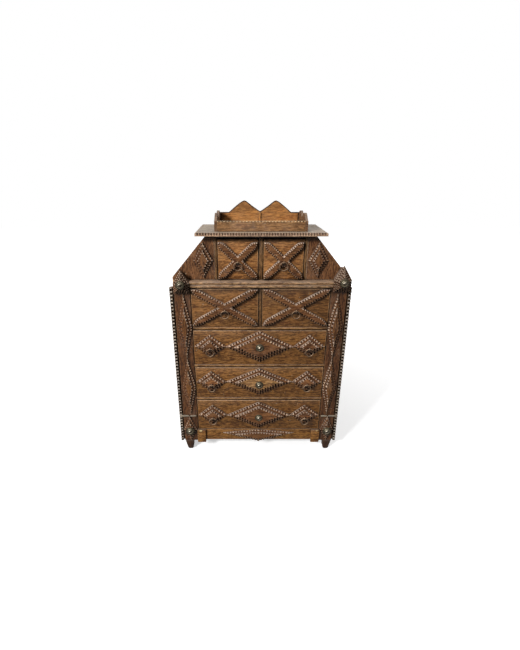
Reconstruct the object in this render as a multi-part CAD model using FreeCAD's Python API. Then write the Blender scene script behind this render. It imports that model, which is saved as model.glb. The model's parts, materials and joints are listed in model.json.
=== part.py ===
import FreeCAD, Part
import math
import os

# A notch-carved chest of drawers for sewing thread: a case on four feet with three long and two
# middle drawers, a sloped upper case with two small drawers, and an open tray on top.
# Millimetres. The front faces -Y, +X is to the right, +Z is up. The origin is the middle of the
# box round the whole chest, on the surface that the feet stand on.
# "Proud" is a distance forward of the face of the posts and long drawers; it is negative behind.

V = FreeCAD.Vector

# ---------------------------------------------------------------- case sizes
case_depth = 130.0            # face of the posts to the back of the chest
opening_half_width = 142.7    # half the clear width between the posts
post_width = 41.8
post_backing = 6.0            # plain board at the back of a post
post_facing = 4.0             # notched board at the front of a post
post_facing_lap = 1.5         # how far the notched board laps the plain one at the outer edge
side_panel_thickness = 6.0
side_panel_inset = 6.0        # outer face of a side panel, in from the outer edge of a post
back_thickness = 6.0
inner_board = 5.0             # upright boards inside the case
shelf_thickness = 5.3
base_board_thickness = 6.0
case_bottom = 25.0            # lower end of the posts, sides and back

# ---------------------------------------------------------------- front rail under the drawers
apron_bottom = 27.2
apron_height = 31.2
corner_block_width = 20.0
corner_block_overlap = 2.0    # how far a corner block laps the post beside it
corner_block_height = 35.6
corner_block_bottom = 21.9
corner_block_proud = 4.0

# ---------------------------------------------------------------- upper case and ledge
ledge_thickness = 13.0
ledge_end_inset = 5.5         # end of the ledge's moulded edge, in from the side of the case
ledge_reach = 5.0
ledge_groove = 2.0            # depth of the groove along the moulded edge of the ledge
ledge_arris = 1.5             # chamfer above and below that edge
upper_setback = 13.0          # face of the small drawers, behind the face of the posts
upper_panel_thickness = 5.0
upper_rail_height = 5.9
upper_rail_depth = 12.0
sloped_board_thickness = 5.0
sloped_board_cover = 1.2      # how far a wing panel stands past the sloped board behind it
upper_opening_step = 55.8     # side of the upper opening, in from the side of the lower one
slope_top_margin = 15.1       # board beside the upper opening to the top of the slope
wing_end_height = 5.47        # upright end of a wing, above the ledge
upper_stile_width = 8.0
middle_stile_width = 5.3

# ---------------------------------------------------------------- top board and tray
top_board_overhang = 19.4     # end of the top board, out from the top of the slope
top_board_thickness = 6.4
top_board_reach = 7.0
tray_overhang = 3.1           # side of the tray, out from the side of the upper opening
tray_board = 5.2
tray_setback = 10.0           # face of the tray's front rail, behind the face of the posts
tray_depth = 110.0
tray_rail_height = 19.7
tray_back_shoulder = 27.0
tray_back_peak = 51.0
tray_back_valley = 28.8
tray_peak_offset = 33.6       # middle of the tray's back to each of its peaks
tray_shoulder_offset = 66.0
tray_side_peak = 32.5
tray_side_valley = 22.0
tray_side_peak_inset = 24.0   # each end of a tray side to the peak beside it
tray_batten_width = 5.8
tray_batten_thickness = 2.0
tray_batten_drop = 2.0        # top of the batten below the valley between the peaks

# ---------------------------------------------------------------- feet
foot_half_width_top = 10.0
foot_inner_taper = 1.5
foot_outer_taper = 5.0
foot_toe_chamfer = 3.0
foot_depth = 16.0
foot_inset = 13.5             # middle of a foot, in from the side of the case
foot_block_depth = 24.0       # square block above the peg, glued in the corner of the case

# ---------------------------------------------------------------- drawers
long_drawer_heights = (("long_bottom", 81.0), ("long_middle", 78.5), ("long_top", 82.0))
middle_drawer_height = 85.0
upper_drawer_height = 81.9
runner_gap = 0.3              # drawer above what it slides on
head_gap = 0.9                # shelf above the drawer under it
side_gap = 0.7                # drawer to the board beside it
back_gap = 1.5                # drawer's back to the back of the chest
drawer_front_thickness = 8.0
drawer_side = 4.5
drawer_bottom_thickness = 3.0
drawer_bottom_rise = 2.0
drawer_side_drop = 8.0        # sides are lower than the front by this

# ---------------------------------------------------------------- notched ornament
layer_thickness = 4.5
layer_step = 8.0              # each layer is smaller all round by this
notch_pitch = 9.4
notch_depth = 3.2
notch_land = 1.0              # plain length kept at each corner of a notched outline
board_notch_pitch = 8.4
board_notch_depth = 2.2
post_notch_pitch = 7.5
post_notch_depth = 5.0
cross_thickness = 7.5
cross_bar_width = 16.5
cross_point_length = 20.0
cross_margin = 2.0            # drawer's corner to the point of a bar
upper_cross_shift = -2.4      # middle of a cross above the middle of its drawer
middle_cross_shift = 1.7
# drawer's lower and upper edges to the points of its middle lozenge
long_lozenge_margins = {"long_bottom": (5.1, 4.9), "long_middle": (9.75, 2.55), "long_top": (7.8, 2.2)}
end_lozenge_margin = 3.4      # drawer's end to the point of the lozenge there
end_lozenge_half_width = 32.6
end_lozenge_half_height = 26.5
end_lozenge_shifts = {"long_bottom": 1.0, "long_middle": 3.0, "long_top": 4.0}
lozenge_tip_gap = 0.4
post_lozenge_half_width = 14.3
post_lozenge_inset = 0.0      # inner edge of a post to the lozenges on it
post_lozenge_drop = 12.2      # top of the upper lozenge below the ledge
post_lozenge_rise = 42.6      # bottom of the lower lozenge above the base board
post_lozenge_layer = 4.0
post_lozenge_step = 6.0
post_strip_height = 3.5
post_strip_proud = 2.5
post_strip_length = 38.0
post_strip_rise = 36.0        # strip above the base board
kite_offset = 17.8            # inner edge of a post to the middle of its kite
kite_half_width = 15.0
kite_top_gap = 0.4            # top of the kite below the strip
kite_widest_rise = 0.6        # widest place above the base board
kite_bottom_rise = 3.0        # lowest point above the lower end of the post
kite_step = 5.0
wing_diamond_offset = 22.6    # inner edge of a wing to the middle of its diamond
wing_diamond_rise = 39.7      # middle of the diamond above the ledge
wing_diamond_half_width = 19.5
wing_diamond_half_height = 35.5
wing_diamond_step = 6.5
apron_lens_half_width = 84.0
apron_lens_top_margin = 1.1   # top of the lens below the top of the rail
apron_lens_tip_drop = 9.8     # its tips below the top of the rail
apron_lens_drop = 3.6         # its lowest point below the rail
apron_lens_step = 5.5
apron_lens_layer = 3.0
corner_house_layers = 4
corner_house_layer = 3.5
corner_house_step = 3.4
corner_house_pitch = 6.6
corner_house_notch = 2.2
left_house_offset = 16.1      # inner edge of the post to the middle of its house
left_house_half_width = 16.0
left_house_drop = 10.1        # lower edge below the underside of the ledge
left_house_wall = 21.0        # height of the upright edges below the roof
left_house_height = 46.5
right_house_offset = 20.1
right_house_half_width = 17.5
right_house_drop = 6.6
right_house_wall = 24.0
right_house_height = 53.0
house_core_inset = 3.0

# ---------------------------------------------------------------- brass studs, eyes and rings
stud_radius = 8.0
stud_rim = 1.2
stud_height = 5.5
stud_sides = 14
stud_heights = {"long_bottom": -2.5, "long_middle": -1.5, "long_top": 3.4}
house_stud_rise = 20.5        # stud above the bottom of a corner house
kite_stud_drop = 0.4          # stud below the top of the base board
ring_radius = 7.7             # to the middle of the wire
ring_wire = 0.95
ring_sides = 20
ring_wire_sides = 6
eye_radius = 2.3
eye_wire = 0.75
eye_sides = 10
eye_wire_sides = 4
eye_plate_radius = 4.2
eye_plate_thickness = 1.0
eye_plate_sides = 12
end_eye_inset = 0.4           # middle of an end lozenge to its eye, towards the drawer's middle
upper_eye_shift = -4.0        # eye above the middle of its drawer
middle_eye_shift = -3.2
long_eye_shifts = {"long_bottom": -2.5, "long_middle": 0.0, "long_top": 1.4}

# ---------------------------------------------------------------- worked out from the sizes above
front_reach = ledge_reach + corner_house_layers * corner_house_layer + stud_height
front_plane = (front_reach - case_depth) / 2
post_thickness = post_backing + post_facing
apron_thickness = post_thickness                 # its back is flush with the backs of the posts
post_outer = opening_half_width + post_width
case_half_width = post_outer - side_panel_inset
back_face = case_depth - back_thickness          # inner face of the back, behind the front plane
base_top = apron_bottom + apron_height
base_underside = base_top - base_board_thickness
upper_opening_half_width = opening_half_width - upper_opening_step
wing_inner = upper_opening_half_width + inner_board
slope_top_half_width = wing_inner + slope_top_margin
top_board_half_length = slope_top_half_width + top_board_overhang
tray_half_width = upper_opening_half_width + tray_overhang
foot_centre = case_half_width - foot_inset
post_strip_bottom = base_top + post_strip_rise
kite_centre = opening_half_width + kite_offset
kite_stud_height = base_top - kite_stud_drop
end_lozenge_x = opening_half_width - side_gap - end_lozenge_margin - end_lozenge_half_width
long_lozenge_half_width = end_lozenge_x - end_lozenge_half_width - lozenge_tip_gap
eye_spread = end_lozenge_x - end_eye_inset

parts = {}


# ================================================================ solid makers
def y_at(proud):
    return front_plane - proud


def board(x0, x1, back, front, z0, z1):
    """A plain board; back and front are proud distances."""
    corner = V(min(x0, x1), y_at(front), z0)
    return Part.makeBox(abs(x1 - x0), front - back, z1 - z0, corner)


def slab(outline, back, front):
    """A flat piece cut to an outline of (x, z) points."""
    loop = [V(x, y_at(back), z) for x, z in outline]
    face = Part.Face(Part.makePolygon(loop + loop[:1]))
    return face.extrude(V(0, back - front, 0))


def side_slab(outline, x0, x1):
    """A flat piece cut to an outline of (proud, z) points."""
    loop = [V(x0, y_at(proud), z) for proud, z in outline]
    face = Part.Face(Part.makePolygon(loop + loop[:1]))
    return face.extrude(V(x1 - x0, 0, 0))


def plate(outline, z0, z1):
    """A flat level piece cut to an outline of (x, proud) points."""
    loop = [V(x, y_at(proud), z0) for x, proud in outline]
    face = Part.Face(Part.makePolygon(loop + loop[:1]))
    return face.extrude(V(0, 0, z1 - z0))


def mirrored(shape):
    return shape.mirror(V(0, 0, 0), V(1, 0, 0))


def both_sides(shapes):
    return list(shapes) + [mirrored(s) for s in shapes]


def closed_solid(faces):
    solid = Part.Solid(Part.Shell(faces))
    if solid.Volume < 0:
        solid.reverse()
    return solid


def flat_face(points):
    return Part.Face(Part.makePolygon(points + points[:1]))


def faceted_turning(profile, sides, x, proud, z):
    """A turned form with flat sides, its axis along Y: profile is (radius, height) from the base."""
    rings = []
    for radius, height in profile:
        turns = [2 * math.pi * k / sides for k in range(sides)]
        rings.append([V(x + radius * math.cos(t), y_at(proud + height), z + radius * math.sin(t))
                      for t in turns])
    faces = [flat_face(rings[0]), flat_face(rings[-1])]
    for lower, upper in zip(rings, rings[1:]):
        for k in range(sides):
            n = (k + 1) % sides
            faces.append(flat_face([lower[k], lower[n], upper[n], upper[k]]))
    return closed_solid(faces)


def wire_loop(centre, across, up, radius, wire, sides, wire_sides):
    """A closed loop of wire with flat facets, in the plane of the directions across and up."""
    normal = across.cross(up)
    sections = []
    for k in range(sides):
        turn = 2 * math.pi * (k + 0.5) / sides
        outward = across * math.cos(turn) + up * math.sin(turn)
        section = []
        for j in range(wire_sides):
            roll = 2 * math.pi * (j + 0.5) / wire_sides
            reach = radius + wire * math.cos(roll)
            section.append(centre + outward * reach + normal * (wire * math.sin(roll)))
        sections.append(section)
    faces = []
    for k in range(sides):
        here, there = sections[k], sections[(k + 1) % sides]
        for j in range(wire_sides):
            n = (j + 1) % wire_sides
            faces.append(flat_face([here[j], here[n], there[n], there[j]]))
    return closed_solid(faces)


# ================================================================ outlines
def turn_sign(corners):
    """1 for an outline that runs anticlockwise, -1 for clockwise."""
    area = sum(a[0] * b[1] - b[0] * a[1] for a, b in zip(corners, corners[1:] + corners[:1]))
    return 1 if area > 0 else -1


def edge_frame(start, end, sign):
    """Length, unit direction and inward unit normal of one edge."""
    dx, dz = end[0] - start[0], end[1] - start[1]
    length = math.hypot(dx, dz)
    along = (dx / length, dz / length)
    return length, along, (-sign * along[1], sign * along[0])


def corner_clearance(before, corner, after, sign, depth):
    """Plain length that a corner needs so that notches from its two edges don't meet."""
    a = math.atan2(before[1] - corner[1], before[0] - corner[0])
    b = math.atan2(after[1] - corner[1], after[0] - corner[0])
    inside = (sign * (a - b)) % (2 * math.pi)
    if inside >= math.pi:
        return notch_land
    return depth / math.tan(inside / 2) + notch_land


def notched(corners, pitch, depth, plain=()):
    """An outline with V notches along its edges; edges whose numbers are in plain stay whole."""
    sign = turn_sign(corners)
    count = len(corners)
    outline = []
    for i, start in enumerate(corners):
        end = corners[(i + 1) % count]
        outline.append(start)
        if i in plain:
            continue
        length, along, inward = edge_frame(start, end, sign)
        lead = corner_clearance(corners[i - 1], start, end, sign, depth)
        trail = corner_clearance(start, end, corners[(i + 2) % count], sign, depth)
        notches = int((length - lead - trail) // pitch)
        if notches < 1:
            continue
        first = lead + (length - lead - trail - notches * pitch) / 2
        for k in range(notches + 1):
            rim = first + k * pitch
            outline.append((start[0] + along[0] * rim, start[1] + along[1] * rim))
            if k < notches:
                mid = rim + pitch / 2
                outline.append((start[0] + along[0] * mid + inward[0] * depth,
                                start[1] + along[1] * mid + inward[1] * depth))
    return outline


def inset(corners, distance):
    """A convex outline with every edge moved inward by a distance."""
    sign = turn_sign(corners)
    lines = []
    for start, end in zip(corners, corners[1:] + corners[:1]):
        _, along, inward = edge_frame(start, end, sign)
        lines.append(((start[0] + inward[0] * distance, start[1] + inward[1] * distance), along))
    moved = []
    for (p, u), (q, w) in zip(lines[-1:] + lines[:-1], lines):
        cross = u[0] * w[1] - u[1] * w[0]
        t = ((q[0] - p[0]) * w[1] - (q[1] - p[1]) * w[0]) / cross
        moved.append((p[0] + u[0] * t, p[1] + u[1] * t))
    return moved


def lozenge(x, z, half_width, half_height):
    return [(x - half_width, z), (x, z - half_height), (x + half_width, z), (x, z + half_height)]


def stack(corners, back, layers=2, thickness=layer_thickness, step=layer_step,
          pitch=notch_pitch, depth=notch_depth):
    """Notched layers glued on each other, each smaller than the one behind it."""
    pieces = []
    for n in range(layers):
        outline = notched(inset(corners, n * step), pitch, depth)
        pieces.append(slab(outline, back + n * thickness, back + (n + 1) * thickness))
    return pieces


# ================================================================ brass fittings
def stud(x, proud, z):
    """A domed nail head: flange, raised ring, hollow and button."""
    profile = [(stud_radius, 0.0), (stud_radius, stud_rim), (stud_radius * 0.66, stud_height * 0.62),
               (stud_radius * 0.46, stud_height * 0.40), (stud_radius * 0.32, stud_height * 0.86),
               (stud_radius * 0.12, stud_height)]
    return faceted_turning(profile, stud_sides, x, proud, z)


def eye_reach():
    """Ornament's face to the middle of the eye."""
    return eye_plate_thickness + eye_radius + eye_wire


def screw_eye(x, proud, z):
    """A round plate with a wire eye standing on it, open sideways."""
    eye_plate = faceted_turning([(eye_plate_radius, 0.0), (eye_plate_radius * 0.8, eye_plate_thickness)],
                                eye_plate_sides, x, proud, z)
    centre = V(x, y_at(proud + eye_reach()), z)
    loop = wire_loop(centre, V(0, 1, 0), V(0, 0, 1), eye_radius, eye_wire, eye_sides, eye_wire_sides)
    return [eye_plate, loop]


def pull_ring(x, proud, z):
    """A wire ring that hangs in the eye at this place."""
    centre = V(x, y_at(proud + eye_reach()), z - ring_radius)
    return wire_loop(centre, V(1, 0, 0), V(0, 0, 1), ring_radius, ring_wire, ring_sides, ring_wire_sides)


# ================================================================ drawers
def drawer_box(x0, x1, z0, height, face):
    """Sides, back and bottom of a drawer, behind its front."""
    front_inside = face - drawer_front_thickness
    rear = -(back_face - back_gap)
    top = z0 + height - drawer_side_drop
    bottom = z0 + drawer_bottom_rise
    left = board(x0, x0 + drawer_side, rear, front_inside, z0, top)
    right = board(x1 - drawer_side, x1, rear, front_inside, z0, top)
    back = board(x0 + drawer_side, x1 - drawer_side, rear, rear + drawer_side, z0, top)
    floor = board(x0 + drawer_side, x1 - drawer_side, rear + drawer_side, front_inside,
                  bottom, bottom + drawer_bottom_thickness)
    return Part.makeCompound([left, right, back, floor])


def cross_bar(start, end, face):
    """One bar of a cross: straight sides that run to a point at each end."""
    length, along, normal = edge_frame(start, end, 1)
    half = cross_bar_width / 2

    def at(distance, aside):
        return (start[0] + along[0] * distance + normal[0] * aside,
                start[1] + along[1] * distance + normal[1] * aside)

    # two points and four long edges, so that the middle, where the bars cross, has no notches
    middle = half * 1.3
    corners = [at(0, 0), at(cross_point_length, -half), at(length / 2 - middle, -half),
               at(length / 2 + middle, -half), at(length - cross_point_length, -half), at(length, 0),
               at(length - cross_point_length, half), at(length / 2 + middle, half),
               at(length / 2 - middle, half), at(cross_point_length, half)]
    outline = notched(corners, notch_pitch, notch_depth, plain=(2, 7))
    return slab(outline, face, face + cross_thickness)


def halved_cross(x0, x1, z0, z1, shift, face):
    """Two bars from corner to corner, each cut away by half where they cross."""
    low = z0 + cross_margin + max(0.0, 2 * shift)
    high = z1 - cross_margin + min(0.0, 2 * shift)
    left, right = x0 + cross_margin, x1 - cross_margin
    falling = cross_bar((left, high), (right, low), face)
    rising = cross_bar((left, low), (right, high), face)
    middle = face + cross_thickness / 2
    front_half = board(x0, x1, middle, face + cross_thickness, z0, z1)
    rear_half = board(x0, x1, face, middle, z0, z1)
    falling_lap = falling.cut(rising.common(rear_half))
    rising_lap = rising.cut(falling.common(front_half))
    return Part.makeCompound([falling_lap, rising_lap])


def single_pull_drawer(name, x0, x1, z0, height, face, cross_shift, eye_shift):
    """A drawer with a cross on its front and one ring."""
    centre_x = (x0 + x1) / 2
    centre_z = z0 + height / 2
    parts[name + "_front"] = board(x0, x1, face - drawer_front_thickness, face, z0, z0 + height)
    parts[name + "_box"] = drawer_box(x0, x1, z0, height, face)
    parts[name + "_cross"] = halved_cross(x0, x1, z0, z0 + height, cross_shift, face)
    on_cross = face + cross_thickness
    parts[name + "_eye"] = Part.makeCompound(screw_eye(centre_x, on_cross, centre_z + eye_shift))
    parts[name + "_ring"] = pull_ring(centre_x, on_cross, centre_z + eye_shift)


def long_drawer(name, z0, height):
    """A full-width drawer with three lozenges, a stud and two rings."""
    half = opening_half_width - side_gap
    centre_z = z0 + height / 2
    parts[name + "_front"] = board(-half, half, -drawer_front_thickness, 0, z0, z0 + height)
    parts[name + "_box"] = drawer_box(-half, half, z0, height, 0)
    below, above = long_lozenge_margins[name]
    middle = lozenge(0, centre_z + (below - above) / 2,
                     long_lozenge_half_width, (height - below - above) / 2)
    end = lozenge(end_lozenge_x, centre_z + end_lozenge_shifts[name],
                  end_lozenge_half_width, end_lozenge_half_height)
    parts[name + "_lozenges"] = Part.makeCompound(stack(middle, 0) + both_sides(stack(end, 0)))
    on_stack = 2 * layer_thickness
    eye_z = centre_z + long_eye_shifts[name]
    fittings = [stud(0, on_stack, centre_z + stud_heights[name])]
    fittings += both_sides(screw_eye(eye_spread, on_stack, eye_z))
    parts[name + "_fittings"] = Part.makeCompound(fittings)
    parts[name + "_ring_left"] = pull_ring(-eye_spread, on_stack, eye_z)
    parts[name + "_ring_right"] = pull_ring(eye_spread, on_stack, eye_z)


# ================================================================ lower case
def lower_case():
    """Shelves, drawers and boards from the base board up; returns the ledge's underside."""
    inner = opening_half_width
    shelves = [board(-case_half_width + side_panel_thickness, case_half_width - side_panel_thickness,
                     -back_face, -apron_thickness, base_underside, base_top)]
    z = base_top
    for name, height in long_drawer_heights:
        long_drawer(name, z + runner_gap, height)
        z += runner_gap + height + head_gap
        shelves.append(board(-inner, inner, -back_face, 0, z, z + shelf_thickness))
        z += shelf_thickness
    stile = middle_stile_width / 2
    ledge_underside = z + runner_gap + middle_drawer_height + head_gap
    for side, x0, x1 in (("left", side_gap - inner, -stile - side_gap),
                         ("right", stile + side_gap, inner - side_gap)):
        single_pull_drawer("middle_" + side, x0, x1, z + runner_gap, middle_drawer_height, 0,
                           middle_cross_shift, middle_eye_shift)
    uprights = both_sides([board(inner, inner + inner_board, -back_face, -post_thickness,
                                 base_top, ledge_underside)])
    uprights.append(board(-stile, stile, -back_face, 0, z, ledge_underside))
    parts["drawer_shelves"] = Part.makeCompound(shelves)
    return ledge_underside, uprights


def side_panels(top):
    outer = case_half_width
    panel = board(outer - side_panel_thickness, outer, -back_face, -post_thickness, case_bottom, top)
    parts["right_side_panel"] = panel
    parts["left_side_panel"] = mirrored(panel)


def posts(top):
    """A post is a plain board with a notched board on its face."""
    backing = board(opening_half_width, post_outer - post_facing_lap, -post_thickness, -post_facing,
                    case_bottom, top)
    corners = [(opening_half_width, case_bottom), (post_outer, case_bottom),
               (post_outer, top), (opening_half_width, top)]
    facing = slab(notched(corners, post_notch_pitch, post_notch_depth, plain=(0, 2, 3)),
                  -post_facing, 0)
    post = Part.makeCompound([backing, facing])
    parts["right_post"] = post
    parts["left_post"] = mirrored(post)


def post_ornament(top):
    """Two tall lozenges, a strip and a kite, one above the other on each post."""
    pieces = []
    centre_x = opening_half_width + post_lozenge_inset + post_lozenge_half_width
    bottom = base_top + post_lozenge_rise
    half_height = (top - post_lozenge_drop - bottom) / 4
    for n in (1, 3):
        outline = lozenge(centre_x, bottom + n * half_height,
                          post_lozenge_half_width, half_height - lozenge_tip_gap / 2)
        pieces += stack(outline, 0, thickness=post_lozenge_layer, step=post_lozenge_step)
    strip_middle = opening_half_width + post_width / 2
    pieces.append(board(strip_middle - post_strip_length / 2, strip_middle + post_strip_length / 2,
                        0, post_strip_proud, post_strip_bottom, post_strip_bottom + post_strip_height))
    widest = base_top + kite_widest_rise
    kite = [(kite_centre - kite_half_width, widest), (kite_centre, case_bottom + kite_bottom_rise),
            (kite_centre + kite_half_width, widest), (kite_centre, post_strip_bottom - kite_top_gap)]
    pieces += stack(kite, 0, thickness=post_lozenge_layer, step=kite_step)
    ornament = Part.makeCompound(pieces)
    parts["right_post_ornament"] = ornament
    parts["left_post_ornament"] = mirrored(ornament)


def apron():
    """The rail under the drawers with a block at each end."""
    rail = board(-opening_half_width, opening_half_width, -apron_thickness, 0, apron_bottom, base_top)
    block_end = opening_half_width + corner_block_overlap
    block = board(block_end - corner_block_width, block_end, 0, corner_block_proud,
                  corner_block_bottom, corner_block_bottom + corner_block_height)
    parts["apron"] = Part.makeCompound([rail] + both_sides([block]))
    tips = base_top - apron_lens_tip_drop
    lens = [(-apron_lens_half_width, tips), (0, apron_bottom - apron_lens_drop),
            (apron_lens_half_width, tips), (0, base_top - apron_lens_top_margin)]
    parts["apron_lens"] = Part.makeCompound(
        stack(lens, 0, thickness=apron_lens_layer, step=apron_lens_step))


def feet():
    """Whittled pegs, each with a square block that is glued in a corner of the case."""
    inner, outer = foot_centre - foot_half_width_top, foot_centre + foot_half_width_top
    low_inner, low_outer = inner + foot_inner_taper, outer - foot_outer_taper
    peg_outline = [(inner, case_bottom), (low_inner, foot_toe_chamfer),
                   (low_inner + foot_toe_chamfer, 0), (low_outer - foot_toe_chamfer, 0),
                   (low_outer, foot_toe_chamfer), (outer, case_bottom)]
    block_outer = case_half_width - side_panel_thickness
    block_inner = block_outer - foot_block_depth
    front_peg = slab(peg_outline, -foot_depth, 0)
    front_block = board(block_inner, block_outer, -post_thickness - foot_block_depth, -post_thickness,
                        case_bottom, base_underside)
    back_peg = slab(peg_outline, -case_depth, -case_depth + foot_depth)
    back_block = board(block_inner, block_outer, -back_face, -back_face + foot_block_depth,
                       case_bottom, base_underside)
    parts["feet"] = Part.makeCompound(
        both_sides([front_peg.fuse(front_block), back_peg.fuse(back_block)]))


# ================================================================ upper case
def slope_line(floor, crown):
    """The sloped outer line of the upper case, as two functions: x at a height and height at an x.
    Either may be moved squarely inward by a distance."""
    run_per_rise = (case_half_width - slope_top_half_width) / (crown - floor - wing_end_height)
    sideways = math.hypot(1, run_per_rise)

    def x_at(z, inward=0.0):
        return slope_top_half_width + (crown - z) * run_per_rise - inward * sideways

    def z_at(x, inward=0.0):
        return crown - (x + inward * sideways - slope_top_half_width) / run_per_rise

    return x_at, z_at


def ledge(underside):
    """The board between the two cases, with a moulded front edge."""
    top = underside + ledge_thickness
    body = board(-case_half_width, case_half_width, -back_face, -upper_setback, underside, top)
    middle = (underside + top) / 2
    edge = [(-upper_setback, underside), (ledge_reach - ledge_arris, underside),
            (ledge_reach, underside + ledge_arris), (ledge_reach, middle - ledge_groove),
            (ledge_reach - ledge_groove, middle), (ledge_reach, middle + ledge_groove),
            (ledge_reach, top - ledge_arris), (ledge_reach - ledge_arris, top), (-upper_setback, top)]
    half_length = case_half_width - ledge_end_inset
    parts["ledge"] = body.fuse(side_slab(edge, -half_length, half_length)).removeSplitter()
    return top


def upper_case(floor, uprights):
    """Small drawers, wings and sloped boards; returns the underside of the top board."""
    face = -upper_setback
    z0 = floor + runner_gap
    rail_underside = z0 + upper_drawer_height + head_gap
    crown = rail_underside + upper_rail_height
    inner = upper_opening_half_width
    stile = upper_stile_width / 2
    for side, x0, x1 in (("left", side_gap - inner, -stile - side_gap),
                         ("right", stile + side_gap, inner - side_gap)):
        single_pull_drawer("upper_" + side, x0, x1, z0, upper_drawer_height, face,
                           upper_cross_shift, upper_eye_shift)
    uprights += both_sides([board(inner, inner + inner_board, -back_face, face, floor, crown)])
    uprights.append(board(-stile, stile, -back_face, face, floor, rail_underside))
    uprights.append(board(-inner, inner, face - upper_rail_depth, face, rail_underside, crown))
    parts["drawer_uprights"] = Part.makeCompound(uprights)

    outer = case_half_width
    slope_x, slope_z = slope_line(floor, crown)
    wing_corners = [(wing_inner, floor), (outer, floor), (outer, slope_z(outer)),
                    (slope_top_half_width, crown), (wing_inner, crown)]
    wing = slab(notched(wing_corners, board_notch_pitch, board_notch_depth, plain=(0, 1, 3, 4)),
                face - upper_panel_thickness, face)
    parts["wing_panels"] = Part.makeCompound(both_sides([wing]))

    skin = sloped_board_cover
    inside = sloped_board_cover + sloped_board_thickness
    sloped = [(outer, slope_z(outer, skin)), (slope_x(crown, skin), crown),
              (slope_x(crown, inside), crown), (slope_x(floor, inside), floor),
              (outer, floor)]
    behind_wing = face - upper_panel_thickness
    parts["sloped_boards"] = Part.makeCompound(both_sides([slab(sloped, -back_face, behind_wing)]))

    diamond = lozenge(wing_inner + wing_diamond_offset, floor + wing_diamond_rise,
                      wing_diamond_half_width, wing_diamond_half_height)
    parts["wing_diamonds"] = Part.makeCompound(
        both_sides(stack(diamond, face, step=wing_diamond_step)))
    return crown


def back_panel(floor, crown):
    """One board behind both cases, cut to their outline."""
    outer = case_half_width
    slope_x, slope_z = slope_line(floor, crown)
    knee = slope_z(outer, sloped_board_cover)
    shoulder = slope_x(crown, sloped_board_cover)
    outline = [(-outer, case_bottom), (outer, case_bottom), (outer, knee), (shoulder, crown),
               (-shoulder, crown), (-outer, knee)]
    parts["back_panel"] = slab(outline, -case_depth, -back_face)


def corner_houses(ledge_top, ledge_underside):
    """Stacked house-shaped corner pieces on cores that reach back over and under the ledge."""
    pieces = []
    studs = []
    sizes = ((-1, left_house_offset, left_house_half_width, left_house_drop, left_house_wall,
              left_house_height),
             (1, right_house_offset, right_house_half_width, right_house_drop, right_house_wall,
              right_house_height))
    for side, offset, half, drop, wall, height in sizes:
        x = side * (opening_half_width + offset)
        bottom = ledge_underside - drop
        eaves = bottom + wall
        outline = [(x - half, bottom), (x + half, bottom), (x + half, eaves), (x, bottom + height),
                   (x - half, eaves)]
        pieces += stack(outline, ledge_reach, layers=corner_house_layers, thickness=corner_house_layer,
                        step=corner_house_step, pitch=corner_house_pitch, depth=corner_house_notch)
        core = slab(inset(outline, house_core_inset), -upper_setback, ledge_reach)
        above = board(x - half, x + half, -upper_setback, ledge_reach, ledge_top, bottom + height)
        below = board(x - half, x + half, 0, ledge_reach, bottom, ledge_underside)
        pieces += [core.common(above), core.common(below)]
        face = ledge_reach + corner_house_layers * corner_house_layer
        studs.append(stud(x, face, bottom + house_stud_rise))
    parts["corner_houses"] = Part.makeCompound(pieces)
    return studs


def case_studs(house_studs):
    kite_face = 2 * post_lozenge_layer
    kite_studs = both_sides([stud(kite_centre, kite_face, kite_stud_height)])
    parts["case_studs"] = Part.makeCompound(house_studs + kite_studs)


# ================================================================ top board and tray
def top_board(crown):
    half = top_board_half_length
    corners = [(-half, -case_depth), (-half, top_board_reach), (half, top_board_reach),
               (half, -case_depth)]
    outline = notched(corners, board_notch_pitch, board_notch_depth, plain=(3,))
    parts["top_board"] = plate(outline, crown, crown + top_board_thickness)
    return crown + top_board_thickness


def tray(floor):
    """A low front rail, two peaked sides and a back with two peaks and a batten."""
    inner = tray_half_width - tray_board
    front, back = -tray_setback, -tray_setback - tray_depth
    rail_top = floor + tray_rail_height
    rail = [(-inner, floor), (inner, floor), (inner, rail_top), (-inner, rail_top)]
    parts["tray_rail"] = slab(notched(rail, board_notch_pitch, board_notch_depth, plain=(0, 1, 3)),
                              front - tray_board, front)
    side = [(front, floor), (front, rail_top), (front - tray_side_peak_inset, floor + tray_side_peak),
            ((front + back) / 2, floor + tray_side_valley),
            (back + tray_side_peak_inset, floor + tray_side_peak),
            (back, floor + tray_back_shoulder), (back, floor)]
    side_outline = notched(side, board_notch_pitch, board_notch_depth, plain=(0, 5, 6))
    parts["tray_sides"] = Part.makeCompound(
        both_sides([side_slab(side_outline, inner, tray_half_width)]))
    half = [(0, floor), (inner, floor), (inner, floor + tray_back_shoulder),
            (tray_shoulder_offset, floor + tray_back_shoulder),
            (tray_peak_offset, floor + tray_back_peak), (0, floor + tray_back_valley)]
    half_outline = notched(half, board_notch_pitch, board_notch_depth, plain=(0, 1, 5))
    halves = both_sides([slab(half_outline, back, back + tray_board)])
    batten = board(-tray_batten_width / 2, tray_batten_width / 2, back + tray_board,
                   back + tray_board + tray_batten_thickness, floor, floor + tray_back_valley - tray_batten_drop)
    parts["tray_back"] = Part.makeCompound(halves + [batten])


# ================================================================ build
ledge_underside, upright_boards = lower_case()
side_panels(ledge_underside)
posts(ledge_underside)
post_ornament(ledge_underside)
apron()
feet()
ledge_top = ledge(ledge_underside)
crown = upper_case(ledge_top, upright_boards)
back_panel(ledge_top, crown)
case_studs(corner_houses(ledge_top, ledge_underside))
tray(top_board(crown))

os.makedirs("parts", exist_ok=True)
for node, shape in parts.items():
    if not shape.isValid():
        raise RuntimeError(node + " is not a valid shape")
    shape.exportStep("parts/" + node + ".step")
print(len(parts), "nodes")
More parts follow.
